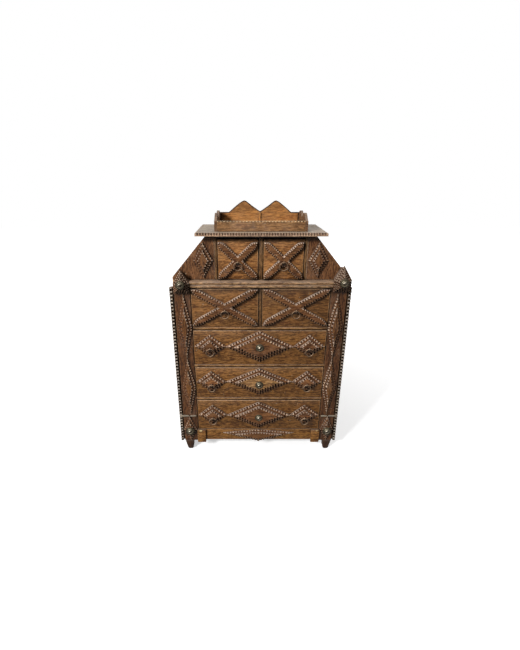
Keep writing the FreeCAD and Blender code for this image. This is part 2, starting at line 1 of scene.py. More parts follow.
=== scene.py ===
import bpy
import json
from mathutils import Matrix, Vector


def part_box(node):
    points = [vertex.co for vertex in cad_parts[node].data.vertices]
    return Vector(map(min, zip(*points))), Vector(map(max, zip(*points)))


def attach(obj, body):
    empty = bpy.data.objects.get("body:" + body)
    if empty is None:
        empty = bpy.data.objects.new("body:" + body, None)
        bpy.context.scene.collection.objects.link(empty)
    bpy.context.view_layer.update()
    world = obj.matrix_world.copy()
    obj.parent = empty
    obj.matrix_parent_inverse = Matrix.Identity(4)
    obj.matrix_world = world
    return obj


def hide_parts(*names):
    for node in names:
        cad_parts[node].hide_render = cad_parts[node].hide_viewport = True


bl_info = {
    "name": "Thread Drawer Cabinet",
    "version": (1, 0, 0),
    "blender": (4, 5, 0),
    "location": "View3D > Sidebar > Thread Cabinet",
    "description": "Builds the carved pieces, brass and finishes of a notch-carved chest of drawers",
    "category": "Add Mesh",
}

import json
import math
import random

import bmesh
import bpy
from bpy.props import FloatProperty, FloatVectorProperty, IntProperty, PointerProperty
from bpy.types import Operator, Panel, PropertyGroup
from mathutils import Matrix, Vector

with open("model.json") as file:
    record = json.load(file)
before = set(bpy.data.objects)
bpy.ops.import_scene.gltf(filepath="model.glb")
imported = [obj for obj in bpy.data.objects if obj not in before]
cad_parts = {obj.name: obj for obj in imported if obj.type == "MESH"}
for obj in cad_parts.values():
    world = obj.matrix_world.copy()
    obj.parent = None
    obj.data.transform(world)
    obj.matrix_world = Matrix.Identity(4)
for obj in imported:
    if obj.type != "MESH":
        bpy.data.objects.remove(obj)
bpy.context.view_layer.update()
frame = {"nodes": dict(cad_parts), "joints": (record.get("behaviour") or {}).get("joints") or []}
MM = 0.001
LETTERS = "ABCDEFGH"


def length(label, description, value):
    """A length to change, given in millimetres."""
    return FloatProperty(name=label, description=description, default=value * MM, min=0.0,
                         unit='LENGTH', precision=5)


def colour(label, description, *screen):
    """A colour to change, given as red, green and blue screen values from 0 to 255."""
    linear = [c / 255 / 12.92 if c <= 10 else ((c / 255 + 0.055) / 1.055) ** 2.4 for c in screen]
    return FloatVectorProperty(name=label, description=description, default=linear, size=3,
                               min=0.0, max=1.0, subtype='COLOR')


# ================================================================ sizes and colours to change
class CarvingSizes(PropertyGroup):
    layer: length("Layer", "Thickness of one layer of a lozenge", 4.5)
    layer_step: length("Layer step", "How much smaller each layer is all round", 8.0)
    notch_pitch: length("Notch pitch", "Middle of one notch to the next", 6.2)
    notch_reach: length("Notch on the face", "How far a notch runs in from the edge", 5.2)
    notch_drop: length("Notch on the edge", "How far a notch runs down the edge", 2.8)
    rim: length("Rim", "Width of the sloped border along a notched edge", 3.4)
    rim_fall: length("Rim fall", "How far the sloped border drops to the edge", 0.6)
    bar_width: length("Cross bar", "Width of one bar of a cross", 15.0)
    bar_point: length("Bar point", "Length of the leaf-shaped end of a bar", 21.0)
    ease: length("Eased edge", "Rounding of the plain boards' edges", 0.7)


class BrassSizes(PropertyGroup):
    stud_radius: length("Stud", "Radius of a brass stud", 8.8)
    stud_height: length("Stud height", "Height of a brass stud", 5.5)
    petals: IntProperty(name="Petals", description="Beads round a stud", default=12, min=4, max=24)
    ring_radius: length("Ring", "Radius of a hanging ring, to the middle of its wire", 8.1)
    ring_wire: length("Ring wire", "Radius of the ring's wire", 0.95)
    eye_radius: length("Eye", "Radius of a screw eye, to the middle of its wire", 2.3)
    eye_wire: length("Eye wire", "Radius of the eye's wire", 0.75)


class FinishColours(PropertyGroup):
    upper_fronts: colour("Upper drawer fronts", "Golden brown wood", 144, 103, 66)
    middle_fronts: colour("Middle drawer fronts", "Brown wood", 118, 84, 53)
    long_fronts: colour("Long drawer fronts", "Olive brown wood", 116, 82, 49)
    # front arris: wear, and a painted highlight on the edges that face up and to the right
    front_arris_wear_and_highlight: colour("Front arris", "Rubbed edges of the drawer fronts, with painted highlight where they face up", 196, 160, 128)
    shelf: colour("Shelf edges", "Tan wood between the drawers", 144, 110, 78)
    case: colour("Case", "Red-brown stained wood", 86, 58, 40)
    wings: colour("Wings", "Brown stained wood", 101, 71, 51)
    ledge: colour("Ledge", "Tan wood, much rubbed", 150, 121, 96)
    apron: colour("Front rail", "Golden brown wood", 130, 93, 54)
    left_chip: colour("Left chip", "Bare wood on the left block", 232, 214, 164)
    right_chip: colour("Right chip", "Bare wood on the right block", 190, 168, 124)
    foot: colour("Feet", "Nearly black wood", 58, 40, 30)
    post_teeth: colour("Post teeth", "Worn tips of the teeth along the posts", 180, 172, 166)
    post_field: colour("Post field", "Inner face of the posts' lozenges", 104, 72, 46)
    post_strip: colour("Post strip", "Grey strips across the posts", 150, 144, 134)
    carving: colour("Carved wood", "Face of the carved pieces", 104, 72, 49)
    # worn rim: wear, and a painted highlight on the side of a rim that faces the light
    worn_and_lit_rim: colour("Worn and lit rim", "Pale wood where the carved edges are rubbed and face the light", 206, 184, 170)
    worn_edge: colour("Worn edge", "Lighter wood on the rubbed arrises", 170, 138, 108)
    # notch: dirt, and painted shade in the cuts and on their sides turned from the light
    notch: colour("Notch", "Dirt and painted shade in the notches", 24, 13, 8)
    lit_notch: colour("Lit notch", "Side of a notch that faces up", 116, 76, 54)
    dust: colour("Dust", "Grey bloom on level surfaces", 166, 150, 138)
    top_board: colour("Top board", "Dusty grey-brown wood", 172, 164, 156)
    top_edge: colour("Top board edge", "Rubbed border of the top board", 172, 146, 130)
    top_notch: colour("Top board notch", "Notches of the top board", 94, 70, 58)
    tray_rail: colour("Tray rail", "Front of the tray", 134, 102, 74)
    tray_rail_edge: colour("Tray rail edge", "Pale top edge of the rail", 206, 178, 140)
    tray_side: colour("Tray sides", "Dull brown wood", 104, 78, 58)
    tray_back: colour("Tray back", "Light orange-brown wood", 160, 114, 70)
    peak_edge: colour("Peak edge", "Dark border of the tray back", 58, 38, 27)
    bare: colour("Bare wood", "Unfinished wood of the drawer boxes and back", 150, 122, 90)
    brass: colour("Brass", "Old brass", 58, 52, 36)
    brass_hollow: colour("Brass hollow", "Tarnish in the studs' hollows", 14, 12, 8)
    # painted highlight on the studs where they face up
    brass_highlight: colour("Brass highlight", "Studs where they face up", 118, 108, 86)
    stud_ring: colour("Stud ring", "Raised ring of a stud", 122, 112, 90)
    stud_ring_hollow: colour("Stud ring hollow", "Tarnish on the raised ring", 70, 62, 46)
    button: colour("Button", "Middle of a stud", 58, 46, 34)
    button_hollow: colour("Button hollow", "Tarnish on the button", 36, 28, 18)
    # painted highlight on the upper left of the button
    button_highlight: colour("Button highlight", "Bright side of the button", 196, 186, 164)
    wire: colour("Wire", "Dark drawn wire", 106, 84, 64)
    wire_hollow: colour("Wire hollow", "Tarnish on the wire", 48, 37, 29)
    # painted highlight on the wire where it faces up
    wire_highlight: colour("Wire highlight", "Wire where it faces up", 172, 142, 114)
    # eye plate: dark, finger grime and painted shade inside the hanging ring
    eye_plate: colour("Eye plate", "Dark ground of a screw eye", 46, 32, 24)


def sizes():
    return bpy.context.scene.cabinet_carving


def brass_sizes():
    return bpy.context.scene.cabinet_brass


def colours():
    return bpy.context.scene.cabinet_finish


# ================================================================ views a flat piece is drawn in
# each maps (across, up, out) to the frame; out is the side that is carved
FRONT = Matrix(((1, 0, 0), (0, 0, -1), (0, 1, 0)))
LEVEL = Matrix(((1, 0, 0), (0, 1, 0), (0, 0, 1)))
RIGHT = Matrix(((0, 0, 1), (1, 0, 0), (0, 1, 0)))


# ================================================================ modelling
def deselect_all():
    for each in bpy.context.selected_objects:
        each.select_set(False)


def activate(piece):
    deselect_all()
    piece.select_set(True)
    bpy.context.view_layer.objects.active = piece


def name_piece(piece, name):
    piece.name = piece.data.name = name
    return piece


def pick(piece, kind, test):
    """Selects the vertices, edges or faces of a piece that pass a test, and nothing else."""
    mesh = piece.data
    groups = {'VERT': mesh.vertices, 'EDGE': mesh.edges, 'FACE': mesh.polygons}
    for group in groups.values():
        group.foreach_set("select", [False] * len(group))
    bpy.context.tool_settings.mesh_select_mode = [kind == k for k in ('VERT', 'EDGE', 'FACE')]
    for item in groups[kind]:
        item.select = test(item)


def edit(*steps):
    """Runs modelling steps in edit mode on the active piece."""
    bpy.ops.object.mode_set(mode='EDIT')
    for step in steps:
        step()
    bpy.ops.object.mode_set(mode='OBJECT')


def select_everything():
    bpy.ops.mesh.select_all(action='SELECT')


def face_outwards():
    bpy.ops.mesh.select_all(action='SELECT')
    bpy.ops.mesh.normals_make_consistent(inside=False)


def bevel(offset, segments=2, material=-1):
    """A modelling step that rounds what is selected."""
    return lambda: bpy.ops.mesh.bevel(offset=offset, segments=segments, affect='EDGES',
                                      material=material, clamp_overlap=True)


def smooth(piece, degrees=35):
    activate(piece)
    bpy.ops.object.shade_smooth_by_angle(angle=math.radians(degrees))
    return piece


def join(name, pieces):
    """Makes several pieces one object."""
    deselect_all()
    for piece in pieces:
        piece.select_set(True)
    bpy.context.view_layer.objects.active = pieces[0]
    if len(pieces) > 1:
        bpy.ops.object.join()
    return name_piece(bpy.context.view_layer.objects.active, name)


def copied(piece, name, matrix):
    """A copy with its own mesh, moved by a matrix."""
    twin = piece.copy()
    twin.data = piece.data.copy()
    bpy.context.collection.objects.link(twin)
    twin.data.transform(matrix)
    return name_piece(twin, name)


def dress(piece, *materials):
    piece.data.materials.clear()
    for material in materials:
        piece.data.materials.append(material)
    return piece


def hang(piece, body, node):
    """The finished piece rides on a body and stands for its node."""
    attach(piece, body)
    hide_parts(node)


def add_board(name, low, high, ease=None):
    """A plain board with eased edges between two corners."""
    low, high = Vector(low), Vector(high)
    deselect_all()
    bpy.ops.mesh.primitive_cube_add(size=1, location=(low + high) / 2)
    board = name_piece(bpy.context.object, name)
    board.scale = high - low
    bpy.ops.object.transform_apply(location=True, rotation=True, scale=True)
    edit(select_everything, bevel(ease or sizes().ease))
    return board


def eased_copy(name, node, ease=None):
    """A node's boards as one piece, with merged faces and eased edges."""
    source = frame["nodes"][node]
    piece = bpy.data.objects.new(name, source.data.copy())
    bpy.context.collection.objects.link(piece)
    piece.data.name = name
    activate(piece)
    edit(select_everything,
         lambda: bpy.ops.mesh.remove_doubles(threshold=0.002 * MM),
         lambda: bpy.ops.mesh.dissolve_limited(angle_limit=math.radians(0.5)))
    modifier = piece.modifiers.new("eased", 'BEVEL')
    modifier.width = ease or sizes().ease
    modifier.segments = 2
    modifier.limit_method = 'ANGLE'
    modifier.angle_limit = math.radians(30)
    bpy.ops.object.modifier_apply(modifier=modifier.name)
    return piece


def add_plate(name, outline, back, front, view=FRONT):
    """A flat piece cut to an outline of (across, up) points."""
    deselect_all()
    bpy.ops.mesh.primitive_circle_add(vertices=len(outline), fill_type='NGON')
    plate = name_piece(bpy.context.object, name)
    for vertex, (across, up) in zip(plate.data.vertices, outline):
        vertex.co = view @ Vector((across, up, back))
    push = view @ Vector((0, 0, front - back))
    edit(select_everything,
         lambda: bpy.ops.mesh.extrude_region_move(TRANSFORM_OT_translate={"value": push}),
         face_outwards)
    return plate


# ---------------------------------------------------------------- notch carving
RIDGE = -0.08                 # where the gouge is widest, as a share of its depth
FREE_SLOPE = 9.0              # notches beside a straight or hollow corner may lengthen this fast
SHALLOWEST = 0.9 * MM         # notches that would be shorter than this are left out
UNEVEN_PLACE = 0.025          # how unevenly the notches sit, as a share of the pitch
UNEVEN_REACH = (0.88, 1.08)   # how unevenly they run in from the edge
UNEVEN_DROP = (0.94, 1.05)    # how unevenly they run down the edge
SAME_WAY = 0.9                # cosine up to which a surface counts as facing a direction


def gouge():
    """The V that one notch is cut with: apex down, as wide as it is high."""
    if "gouge" not in bpy.data.meshes:
        deselect_all()
        bpy.ops.mesh.primitive_cylinder_add(vertices=3, radius=1, depth=2)
        wedge = name_piece(bpy.context.object, "gouge")
        for vertex in wedge.data.vertices:
            x, _, z = vertex.co
            vertex.co = (0, -1, z) if abs(x) < 0.1 else (math.copysign(1, x), RIDGE, z)
        edit(face_outwards)
        wedge.data.use_fake_user = True
        bpy.data.objects.remove(wedge)
    return bpy.data.meshes["gouge"]


def corner_slope(before, after):
    """How fast notches may lengthen away from a corner and stay on their own side of it."""
    u = (Vector(before[-1]) - Vector(before[-2])).normalized()
    w = (Vector(after[1]) - Vector(after[0])).normalized()
    turn = math.atan2(u.x * w.y - u.y * w.x, u.dot(w))
    return FREE_SLOPE if turn <= 0.05 else 0.85 * math.tan((math.pi - turn) / 2)


def places_along(run, pitch, lead, trail, hand):
    """Middles of the notches along a line of points, each with its direction, the room it has and
    its distance from both ends."""
    spans = [(Vector(b) - Vector(a)).length for a, b in zip(run, run[1:])]
    free = sum(spans) - lead - trail
    count = int(free / pitch + 0.25)
    if count < 1:
        return
    stride = free / count
    for k in range(count):
        reach = lead + (k + 0.5 + hand.uniform(-UNEVEN_PLACE, UNEVEN_PLACE)) * stride
        ends = (reach, sum(spans) - reach)
        for a, b, span in zip(run, run[1:], spans):
            if reach <= span:
                break
            reach -= span
        along = (Vector(b) - Vector(a)).normalized()
        yield Vector(a) + along * reach, along, stride, ends


def notch_cutter(runs, front, view, pitch, reach, drop, fall, seed):
    """All the notches of one plate as one cutting mesh. With no drop they go right through."""
    hand = random.Random(seed)
    cutter = bmesh.new()
    face = (view @ Vector((0, 0, 1))).normalized()
    for k, (points, ends) in enumerate(runs):
        if ends is None:
            continue
        slopes = (corner_slope(runs[k - 1][0], points),
                  corner_slope(points, runs[(k + 1) % len(runs)][0]))
        for place, along, stride, gone in places_along(points, pitch, *ends, hand):
            tangent = view @ Vector((along.x, along.y, 0))
            outward = view @ Vector((along.y, -along.x, 0))
            arris = view @ Vector((place.x, place.y, front))
            deep = min(reach * hand.uniform(*UNEVEN_REACH), gone[0] * slopes[0], gone[1] * slopes[1])
            if deep < SHALLOWEST:
                continue
            if drop:
                # an edge that looks down is cut longer and deeper, and one that looks up shallower
                under, over = max(0.0, -outward.z), max(0.0, outward.z)
                deep *= 1 + 0.35 * under
                down = drop * hand.uniform(*UNEVEN_DROP) * (1 + 0.6 * under - 0.4 * over)
                widening = (0.41 - 0.07 * over) / (1 - fall / down)
                slant = math.hypot(deep, down)
                run = (outward * deep - face * down) / slant
                lift = (outward * down + face * deep) / slant
                depth = deep * down / slant
                before, after = deep * deep / slant + MM, down * down / slant + MM
            else:
                # right through: from just above the face to well below any board
                run, lift, depth, widening = -face, outward, deep, 0.43
                before, after = MM, 20 * MM
            middle = arris + run * (after - before) / 2
            matrix = Matrix((tangent * stride * widening, lift * depth, run * (before + after) / 2))
            matrix = matrix.transposed().to_4x4()
            matrix.translation = middle
            tooth = gouge().copy()
            tooth.transform(matrix)
            if matrix.determinant() < 0:
                tooth.flip_normals()
            cutter.from_mesh(tooth)
            bpy.data.meshes.remove(tooth)
    mesh = bpy.data.meshes.new("cutter")
    cutter.to_mesh(mesh)
    cutter.free()
    return mesh


def carve(name, runs, back, front, finish, view=FRONT, dome=0.0, wall=1, **given):
    """A plate with a sloped or domed rim and notches along the runs of its outline that have end
    margins. finish is the materials of its face, rim and notches, and wall is the one its sides have.
    given can hold pitch, reach, drop, rim and fall in millimetres; a drop of 0 is right through."""
    s = sizes()
    usual = {"pitch": s.notch_pitch, "reach": s.notch_reach, "drop": s.notch_drop, "rim": s.rim,
             "fall": s.rim_fall}
    pitch, reach, drop, rim, fall = (given[k] * MM if k in given else usual[k] for k in usual)
    if dome:
        rim, fall = 0, 0.30 * dome
    outline = [point for points, _ in runs for point in points[:-1]]
    plate = add_plate(name, outline, back, front - (0 if dome else fall), view)
    dress(plate, *finish)
    face = view @ Vector((0, 0, 1))
    for polygon in plate.data.polygons:
        polygon.material_index = 0 if abs(polygon.normal.dot(face)) > SAME_WAY else wall
    verts = plate.data.vertices
    if rim:
        pick(plate, 'FACE', lambda f: f.normal.dot(face) > SAME_WAY)
        edit(lambda: bpy.ops.mesh.inset(thickness=rim, depth=fall))
        for polygon in plate.data.polygons:
            if 0.1 < polygon.normal.dot(face) < 0.999:
                polygon.material_index = 1
    elif dome:
        pick(plate, 'EDGE', lambda e: all(abs(verts[v].co.dot(face) - front) < 0.01 * MM
                                          for v in e.vertices))
        edit(bevel(dome, 3, material=1))
    mesh = notch_cutter(runs, front, view, pitch, reach, drop, fall, name)
    if len(mesh.vertices):
        mesh.materials.append(finish[2])
        tool = bpy.data.objects.new("cutter", mesh)
        bpy.context.collection.objects.link(tool)
        modifier = plate.modifiers.new("notches", 'BOOLEAN')
        modifier.operation = 'DIFFERENCE'
        modifier.solver = 'EXACT'
        modifier.use_self = True
        modifier.material_mode = 'TRANSFER'
        modifier.object = tool
        activate(plate)
        bpy.ops.object.modifier_apply(modifier=modifier.name)
        bpy.data.objects.remove(tool)
    bpy.data.meshes.remove(mesh)
    return plate


def add_rack(name, inner, outer, low, high, back, front, pitch, finish):
    """An upright strip whose face is one row of flat-topped teeth, as a toothed rack. A tooth's
    groove and the start of its top are shares of the pitch, a little uneven."""
    groove_depth, groove_share, top_share, play = 3.2 * MM, 0.32, 0.62, 0.04
    count = round((high - low) / pitch)
    pitch = (high - low) / count
    hand = random.Random(name)
    outline = [(-back, high), (-back, low)]
    for k in range(count):
        start = low + k * pitch
        groove, top = (start + pitch * (share + hand.uniform(-play, play))
                       for share in (groove_share, top_share))
        outline += [(-front, start), (-front + groove_depth, groove), (-front, top)]
    outline.append((-front, high))
    rack = add_plate(name, outline, inner, outer, view=RIGHT)
    dress(rack, *finish)
    for polygon in rack.data.polygons:
        y = polygon.normal.y
        polygon.material_index = 1 if y < -0.95 else 2 if y < -0.1 else 0
    return rack


def closed_runs(corners, margins, plain=()):
    """The edges of a closed outline as runs; margins are the plain millimetres at each corner."""
    runs = []
    for k, corner in enumerate(corners):
        after = (k + 1) % len(corners)
        ends = None if k in plain else (margins[k] * MM, margins[after] * MM)
        runs.append(([corner, corners[after]], ends))
    return runs


def mirrored(points):
    """Points on the other side of the middle, in the order that keeps the outline anticlockwise."""
    return [(-x, z) for x, z in reversed(points)]


def mirrored_runs(runs):
    return [(mirrored(points), ends and ends[::-1]) for points, ends in reversed(runs)]


def on_side(sign, a, b):
    """Two distances from the middle as places on the right, or on the left with -1, in order."""
    return sorted((sign * a, sign * b))


def inset(corners, distance):
    """A convex anticlockwise outline with every edge moved inward."""
    lines = []
    for a, b in zip(corners, corners[1:] + corners[:1]):
        along = (Vector(b) - Vector(a)).normalized()
        lines.append((Vector(a) + Vector((-along.y, along.x)) * distance, along))
    moved = []
    for (p, u), (q, w) in zip(lines[-1:] + lines[:-1], lines):
        cross = u.x * w.y - u.y * w.x
        t = ((q.x - p.x) * w.y - (q.y - p.y) * w.x) / cross
        moved.append(tuple(p + u * t))
    return moved


def lozenge(x, z, half_width, half_height):
    return [(x - half_width, z), (x, z - half_height), (x + half_width, z), (x, z + half_height)]


def stacked(name, corners, back, finish, tips, layers=2, layer=None, step=None, top_finish=None, **cut):
    """Notched layers glued on each other; layer and step are in millimetres, and tips are the plain
    millimetres at the corners."""
    layer = sizes().layer if layer is None else layer * MM
    step = sizes().layer_step if step is None else step * MM
    plates = []
    for n in range(layers):
        last = n == layers - 1 and top_finish
        runs = closed_runs(inset(corners, n * step), tips)
        plates.append(carve(f"{name}_{LETTERS[n]}", runs, back + n * layer, back + (n + 1) * layer,
                            top_finish if last else finish, **cut))
    return plates


# ================================================================ shader nodes
class Nodes:
    """Short ways to add and join shader nodes."""

    def __init__(self, tree):
        self.tree = tree

    def feed(self, node, inputs):
        """Links the sockets and sets the plain values among a node's inputs."""
        for key, value in inputs.items():
            if isinstance(value, bpy.types.NodeSocket):
                self.tree.links.new(value, node.inputs[key])
            else:
                node.inputs[key].default_value = value
        return node

    def add(self, kind, inputs=None, **settings):
        node = self.tree.nodes.new(kind)
        for key, value in settings.items():
            setattr(node, key, value)
        return self.feed(node, inputs or {})

    def math(self, operation, a, b, clamp=False):
        return self.add('ShaderNodeMath', {0: a, 1: b}, operation=operation, use_clamp=clamp).outputs[0]

    def times(self, a, b):
        """A product held between 0 and 1."""
        return self.math('MULTIPLY', a, b, True)

    def vector_math(self, operation, *vectors):
        """The vector that comes out, and the number."""
        return self.add('ShaderNodeVectorMath', dict(enumerate(vectors)), operation=operation).outputs[:2]

    def mix(self, factor, a, b, blend='MIX'):
        """Two colours mixed; 6, 7 and 2 are the node's colour sockets."""
        node = self.add('ShaderNodeMix', {0: factor, 6: a, 7: b}, data_type='RGBA', blend_type=blend)
        return node.outputs[2]

    def band(self, value, low, high, to_low=0.0, to_high=1.0):
        """A value spread from one range to another and held at its ends."""
        return self.add('ShaderNodeMapRange', {0: value, 1: low, 2: high, 3: to_low, 4: to_high}).outputs[0]

    def noise(self, vector, along, across, detail=3.0, rough=0.55, distortion=0.0):
        """Noise with so many marks to the metre along the grain and across it."""
        scaled = self.vector_math('MULTIPLY', vector, (along, across, across))[0]
        return self.add('ShaderNodeTexNoise', {'Vector': scaled, 'Scale': 1.0, 'Detail': detail,
                                               'Roughness': rough, 'Distortion': distortion}).outputs[0]

    def bump(self, height, strength, distance):
        return self.add('ShaderNodeBump', {'Height': height, 'Strength': strength,
                                           'Distance': distance}).outputs[0]

    def normal(self):
        return self.add('ShaderNodeNewGeometry').outputs['Normal']

    def effect(self, name, **inputs):
        """What a shared group gives: its output, or a list where it has more than one."""
        outputs = self.add('ShaderNodeGroup', inputs, node_tree=shared_group(name, *EFFECTS[name])).outputs
        return outputs[0] if len(outputs) == 1 else outputs[:]


def rgba(value):
    return (*value, 1.0)


def shaded(tone, *shades):
    """A colour times one shade, or times a shade for each channel."""
    return tuple(v * shade for v, shade in zip(tone, shades * 3))


def shared_group(name, inputs, outputs, fill):
    """A shader group that many materials share. inputs has each socket's usual value, and fill gets
    the nodes and the input sockets and returns the output sockets."""
    if name not in bpy.data.node_groups:
        group = bpy.data.node_groups.new(name, 'ShaderNodeTree')
        for label, value in inputs.items():
            kind = 'Float' if isinstance(value, float) else 'Color' if len(value) == 4 else 'Vector'
            socket = group.interface.new_socket(label, in_out='INPUT', socket_type='NodeSocket' + kind)
            socket.default_value = value
        for label, kind in outputs.items():
            group.interface.new_socket(label, in_out='OUTPUT', socket_type='NodeSocket' + kind)
        n = Nodes(group)
        results = fill(n, *n.add('NodeGroupInput').outputs[:len(inputs)])
        n.add('NodeGroupOutput', dict(enumerate(results)))
    return bpy.data.node_groups[name]


def grain_figure(n, vector, ground, contrast):
    """Grain that runs along X: streaks, growth bands, short flecks, pores and duller patches."""
    streak = n.noise(vector, 24, 330, 5.0, 0.66, 0.3)
    band = n.noise(vector, 6, 90, 3.0, 0.5, 0.6)
    fleck = n.noise(vector, 85, 400, 4.0, 0.70, 0.4)
    patch = n.noise(vector, 24, 80, 4.0, 0.62, 0.5)
    area = n.noise(vector, 12, 38, 3.0, 0.5, 0.8)
    pore = n.noise(vector, 190, 1900, 2.0, 0.6)
    dark, light, fair, deep, red, olive = (
        n.mix(1.0, ground, rgba(stain), 'MULTIPLY')
        for stain in ((0.34, 0.29, 0.24), (1.95, 1.82, 1.45), (1.60, 1.50, 1.20), (0.52, 0.42, 0.34),
                      (1.10, 0.76, 0.56), (1.12, 1.16, 0.92)))
    # each mark: its noise, where it starts and where it is full, its strength and its colour
    marks = ((patch, 0.50, 0.60, 0.70, red), (patch, 0.48, 0.38, 0.70, olive),
             (area, 0.50, 0.58, 0.65, fair), (area, 0.49, 0.40, 0.65, deep),
             (streak, 0.47, 0.62, 0.75, light), (streak, 0.47, 0.33, 0.75, dark),
             (band, 0.50, 0.72, 0.55, dark), (fleck, 0.51, 0.60, 0.80, light),
             (fleck, 0.49, 0.39, 0.85, deep), (pore, 0.58, 0.68, 0.60, dark))
    tone = ground
    for noise, start, full, strength, stain in marks:
        tone = n.mix(n.times(n.times(n.band(noise, start, full), strength), contrast), tone, stain)
    raised = n.math('ADD', n.times(streak, 0.6), n.times(fleck, 0.5))
    return tone, n.math('SUBTRACT', raised, n.times(n.band(pore, 0.58, 0.68), 0.5))


def edge_wear(n, radius, vector):
    """1 on convex edges, broken up, and 0 on flat faces."""
    rounded = n.add('ShaderNodeBevel', {'Radius': radius}, samples=4).outputs[0]
    flat = n.vector_math('DOT_PRODUCT', rounded, n.normal())[1]
    broken = n.band(n.noise(vector, 120, 120, 4.0), 0.32, 0.54)
    return (n.times(n.band(flat, 0.995, 0.93), broken),)


def aging_and_shade(n, base, vector, dirt, bloom, settled, dust, crevice_dirt_and_shade):
    """Dull patches, specks and wax spots over any colour, dust on what faces up, and dirt and painted shade
    in corners.
    The corners are looked for up and to the left, where the light comes from, so the painted shade falls
    below and right of raised parts."""
    cloud = n.noise(vector, 30, 30, 5.0, 0.64, 0.5)
    speck = n.noise(vector, 420, 420, 2.0, 0.5)
    spot = n.noise(vector, 210, 210, 1.0, 0.4)
    darker = n.mix(1.0, base, (0.42, 0.36, 0.31, 1), 'MULTIPLY')
    wax, dirt_and_shade_black = (0.52, 0.42, 0.30, 1), (0.010, 0.006, 0.004, 1)
    normal = n.normal()
    up = n.add('ShaderNodeSeparateXYZ', {'Vector': normal}).outputs['Z']
    lying = n.times(n.band(up, 0.10, 0.60), n.band(cloud, 0.26, 0.56, 0.45, 1.0))
    # painted shade: occlusion looked for toward the light darkens corners and the ground below and right of
    # raised parts, with dirt
    tilted_to_light = n.vector_math('NORMALIZE', n.vector_math('ADD', normal, (-0.65, 0, 1.05))[0])[0]
    openness = n.add('ShaderNodeAmbientOcclusion', {'Distance': 15 * MM, 'Normal': tilted_to_light},
                     samples=4).outputs['AO']
    layers = ((n.band(cloud, 0.52, 0.32), dirt, darker), (n.band(cloud, 0.52, 0.74), bloom, dust),
              (n.band(speck, 0.64, 0.72), 0.7, darker), (n.band(spot, 0.765, 0.80), 0.6, wax),
              (lying, settled, dust), (n.band(openness, 0.74, 0.40), crevice_dirt_and_shade, dirt_and_shade_black))
    tone = base
    for mask, strength, stain in layers:
        tone = n.mix(n.times(mask, strength), tone, stain)
    return tone, n.band(cloud, 0.3, 0.7, 0.40, 0.70)


def rubbed_and_lit_side(n, pale, plain, least, toward, vector):
    """Pale where a face lies toward the given direction, and plain where it is turned away: wear on rubbed
    rims, and a painted highlight on the side the light falls on.
    """
    facing = n.vector_math('DOT_PRODUCT', n.normal(), toward)[1]
    broken = n.band(n.noise(vector, 120, 120, 4.0, 0.6), 0.28, 0.56, 0.3, 1.0)
    return (n.mix(n.times(n.band(facing, -0.12, 0.15, least, 1.0), broken), plain, pale),)


BROWN = (0.3, 0.15, 0.07, 1)
NOWHERE = (0, 0, 0)
EFFECTS = {
    "wood grain": ({"Vector": NOWHERE, "Ground": BROWN, "Contrast": 1.0},
                   {"Color": 'Color', "Height": 'Float'}, grain_figure),
    "worn edge": ({"Radius": MM, "Vector": NOWHERE}, {"Mask": 'Float'}, edge_wear),
    "grime and shade": ({"Color": BROWN, "Vector": NOWHERE, "Dirt": 0.5, "Bloom": 0.3, "Settled": 0.5,
               "Dust": BROWN, "Crevice": 0.8}, {"Color": 'Color', "Roughness": 'Float'}, aging_and_shade),
    "rubbed and lit side": ({"Pale": BROWN, "Shaded": BROWN, "Least": 0.2, "Toward": (0, 0, 1),
                       "Vector": NOWHERE}, {"Color": 'Color'}, rubbed_and_lit_side),
}


# ================================================================ materials
TURNS = {'X': (0, 0, 0), 'Z': (0, math.radians(90), 0), 'Y': (0, 0, math.radians(90))}


def new_material(name):
    """A material, its nodes, its shader and the place on the piece."""
    material = bpy.data.materials.new(name)
    material.use_nodes = True
    n = Nodes(material.node_tree)
    return material, n, n.tree.nodes["Principled BSDF"], n.add('ShaderNodeTexCoord').outputs['Object']


def wood(name, ground, grain='X', shift=0.0, contrast=1.0, dirt=0.5, bloom=0.15, wear=0.6,
         wear_radius=1.0, coat=0.03, settled=0.4, crevice_dirt_and_shade=0.9, gloss=0.12, rim_of=None, least=0.2,
         toward=(0, 0, 1)):
    """A stained and waxed wood; grain is the direction it runs in and shift picks another stretch of
    it. A rim has its own colour where it faces toward a given direction, wear with a painted highlight, and
    rim_of elsewhere."""
    if name in bpy.data.materials:
        return bpy.data.materials[name]
    material, n, shader, place = new_material(name)
    vector = n.add('ShaderNodeMapping', {'Vector': place, 'Location': (shift, shift * 0.7, shift * 1.3),
                                         'Rotation': TURNS[grain]}).outputs[0]
    base = rgba(ground)
    if rim_of is not None:
        base = n.effect("rubbed and lit side", Pale=base, Shaded=rgba(rim_of), Least=least, Toward=toward,
                        Vector=place)
    figure, height = n.effect("wood grain", Vector=vector, Ground=base, Contrast=contrast)
    # dirt, dust and wax, with painted shade in corners and below raised parts
    aged, roughness = n.effect("grime and shade", Color=figure, Vector=vector, Dirt=dirt, Bloom=bloom,
                               Settled=settled, Dust=rgba(colours().dust), Crevice=crevice_dirt_and_shade)
    edge = n.effect("worn edge", Radius=wear_radius * MM, Vector=place)
    n.feed(shader, {'Base Color': n.mix(n.times(edge, wear), aged, rgba(colours().worn_edge)),
                    'Roughness': roughness, 'Normal': n.bump(height, 0.5, 0.5 * MM),
                    'Coat Weight': coat, 'Coat Roughness': 0.35, 'Specular IOR Level': gloss})
    return material


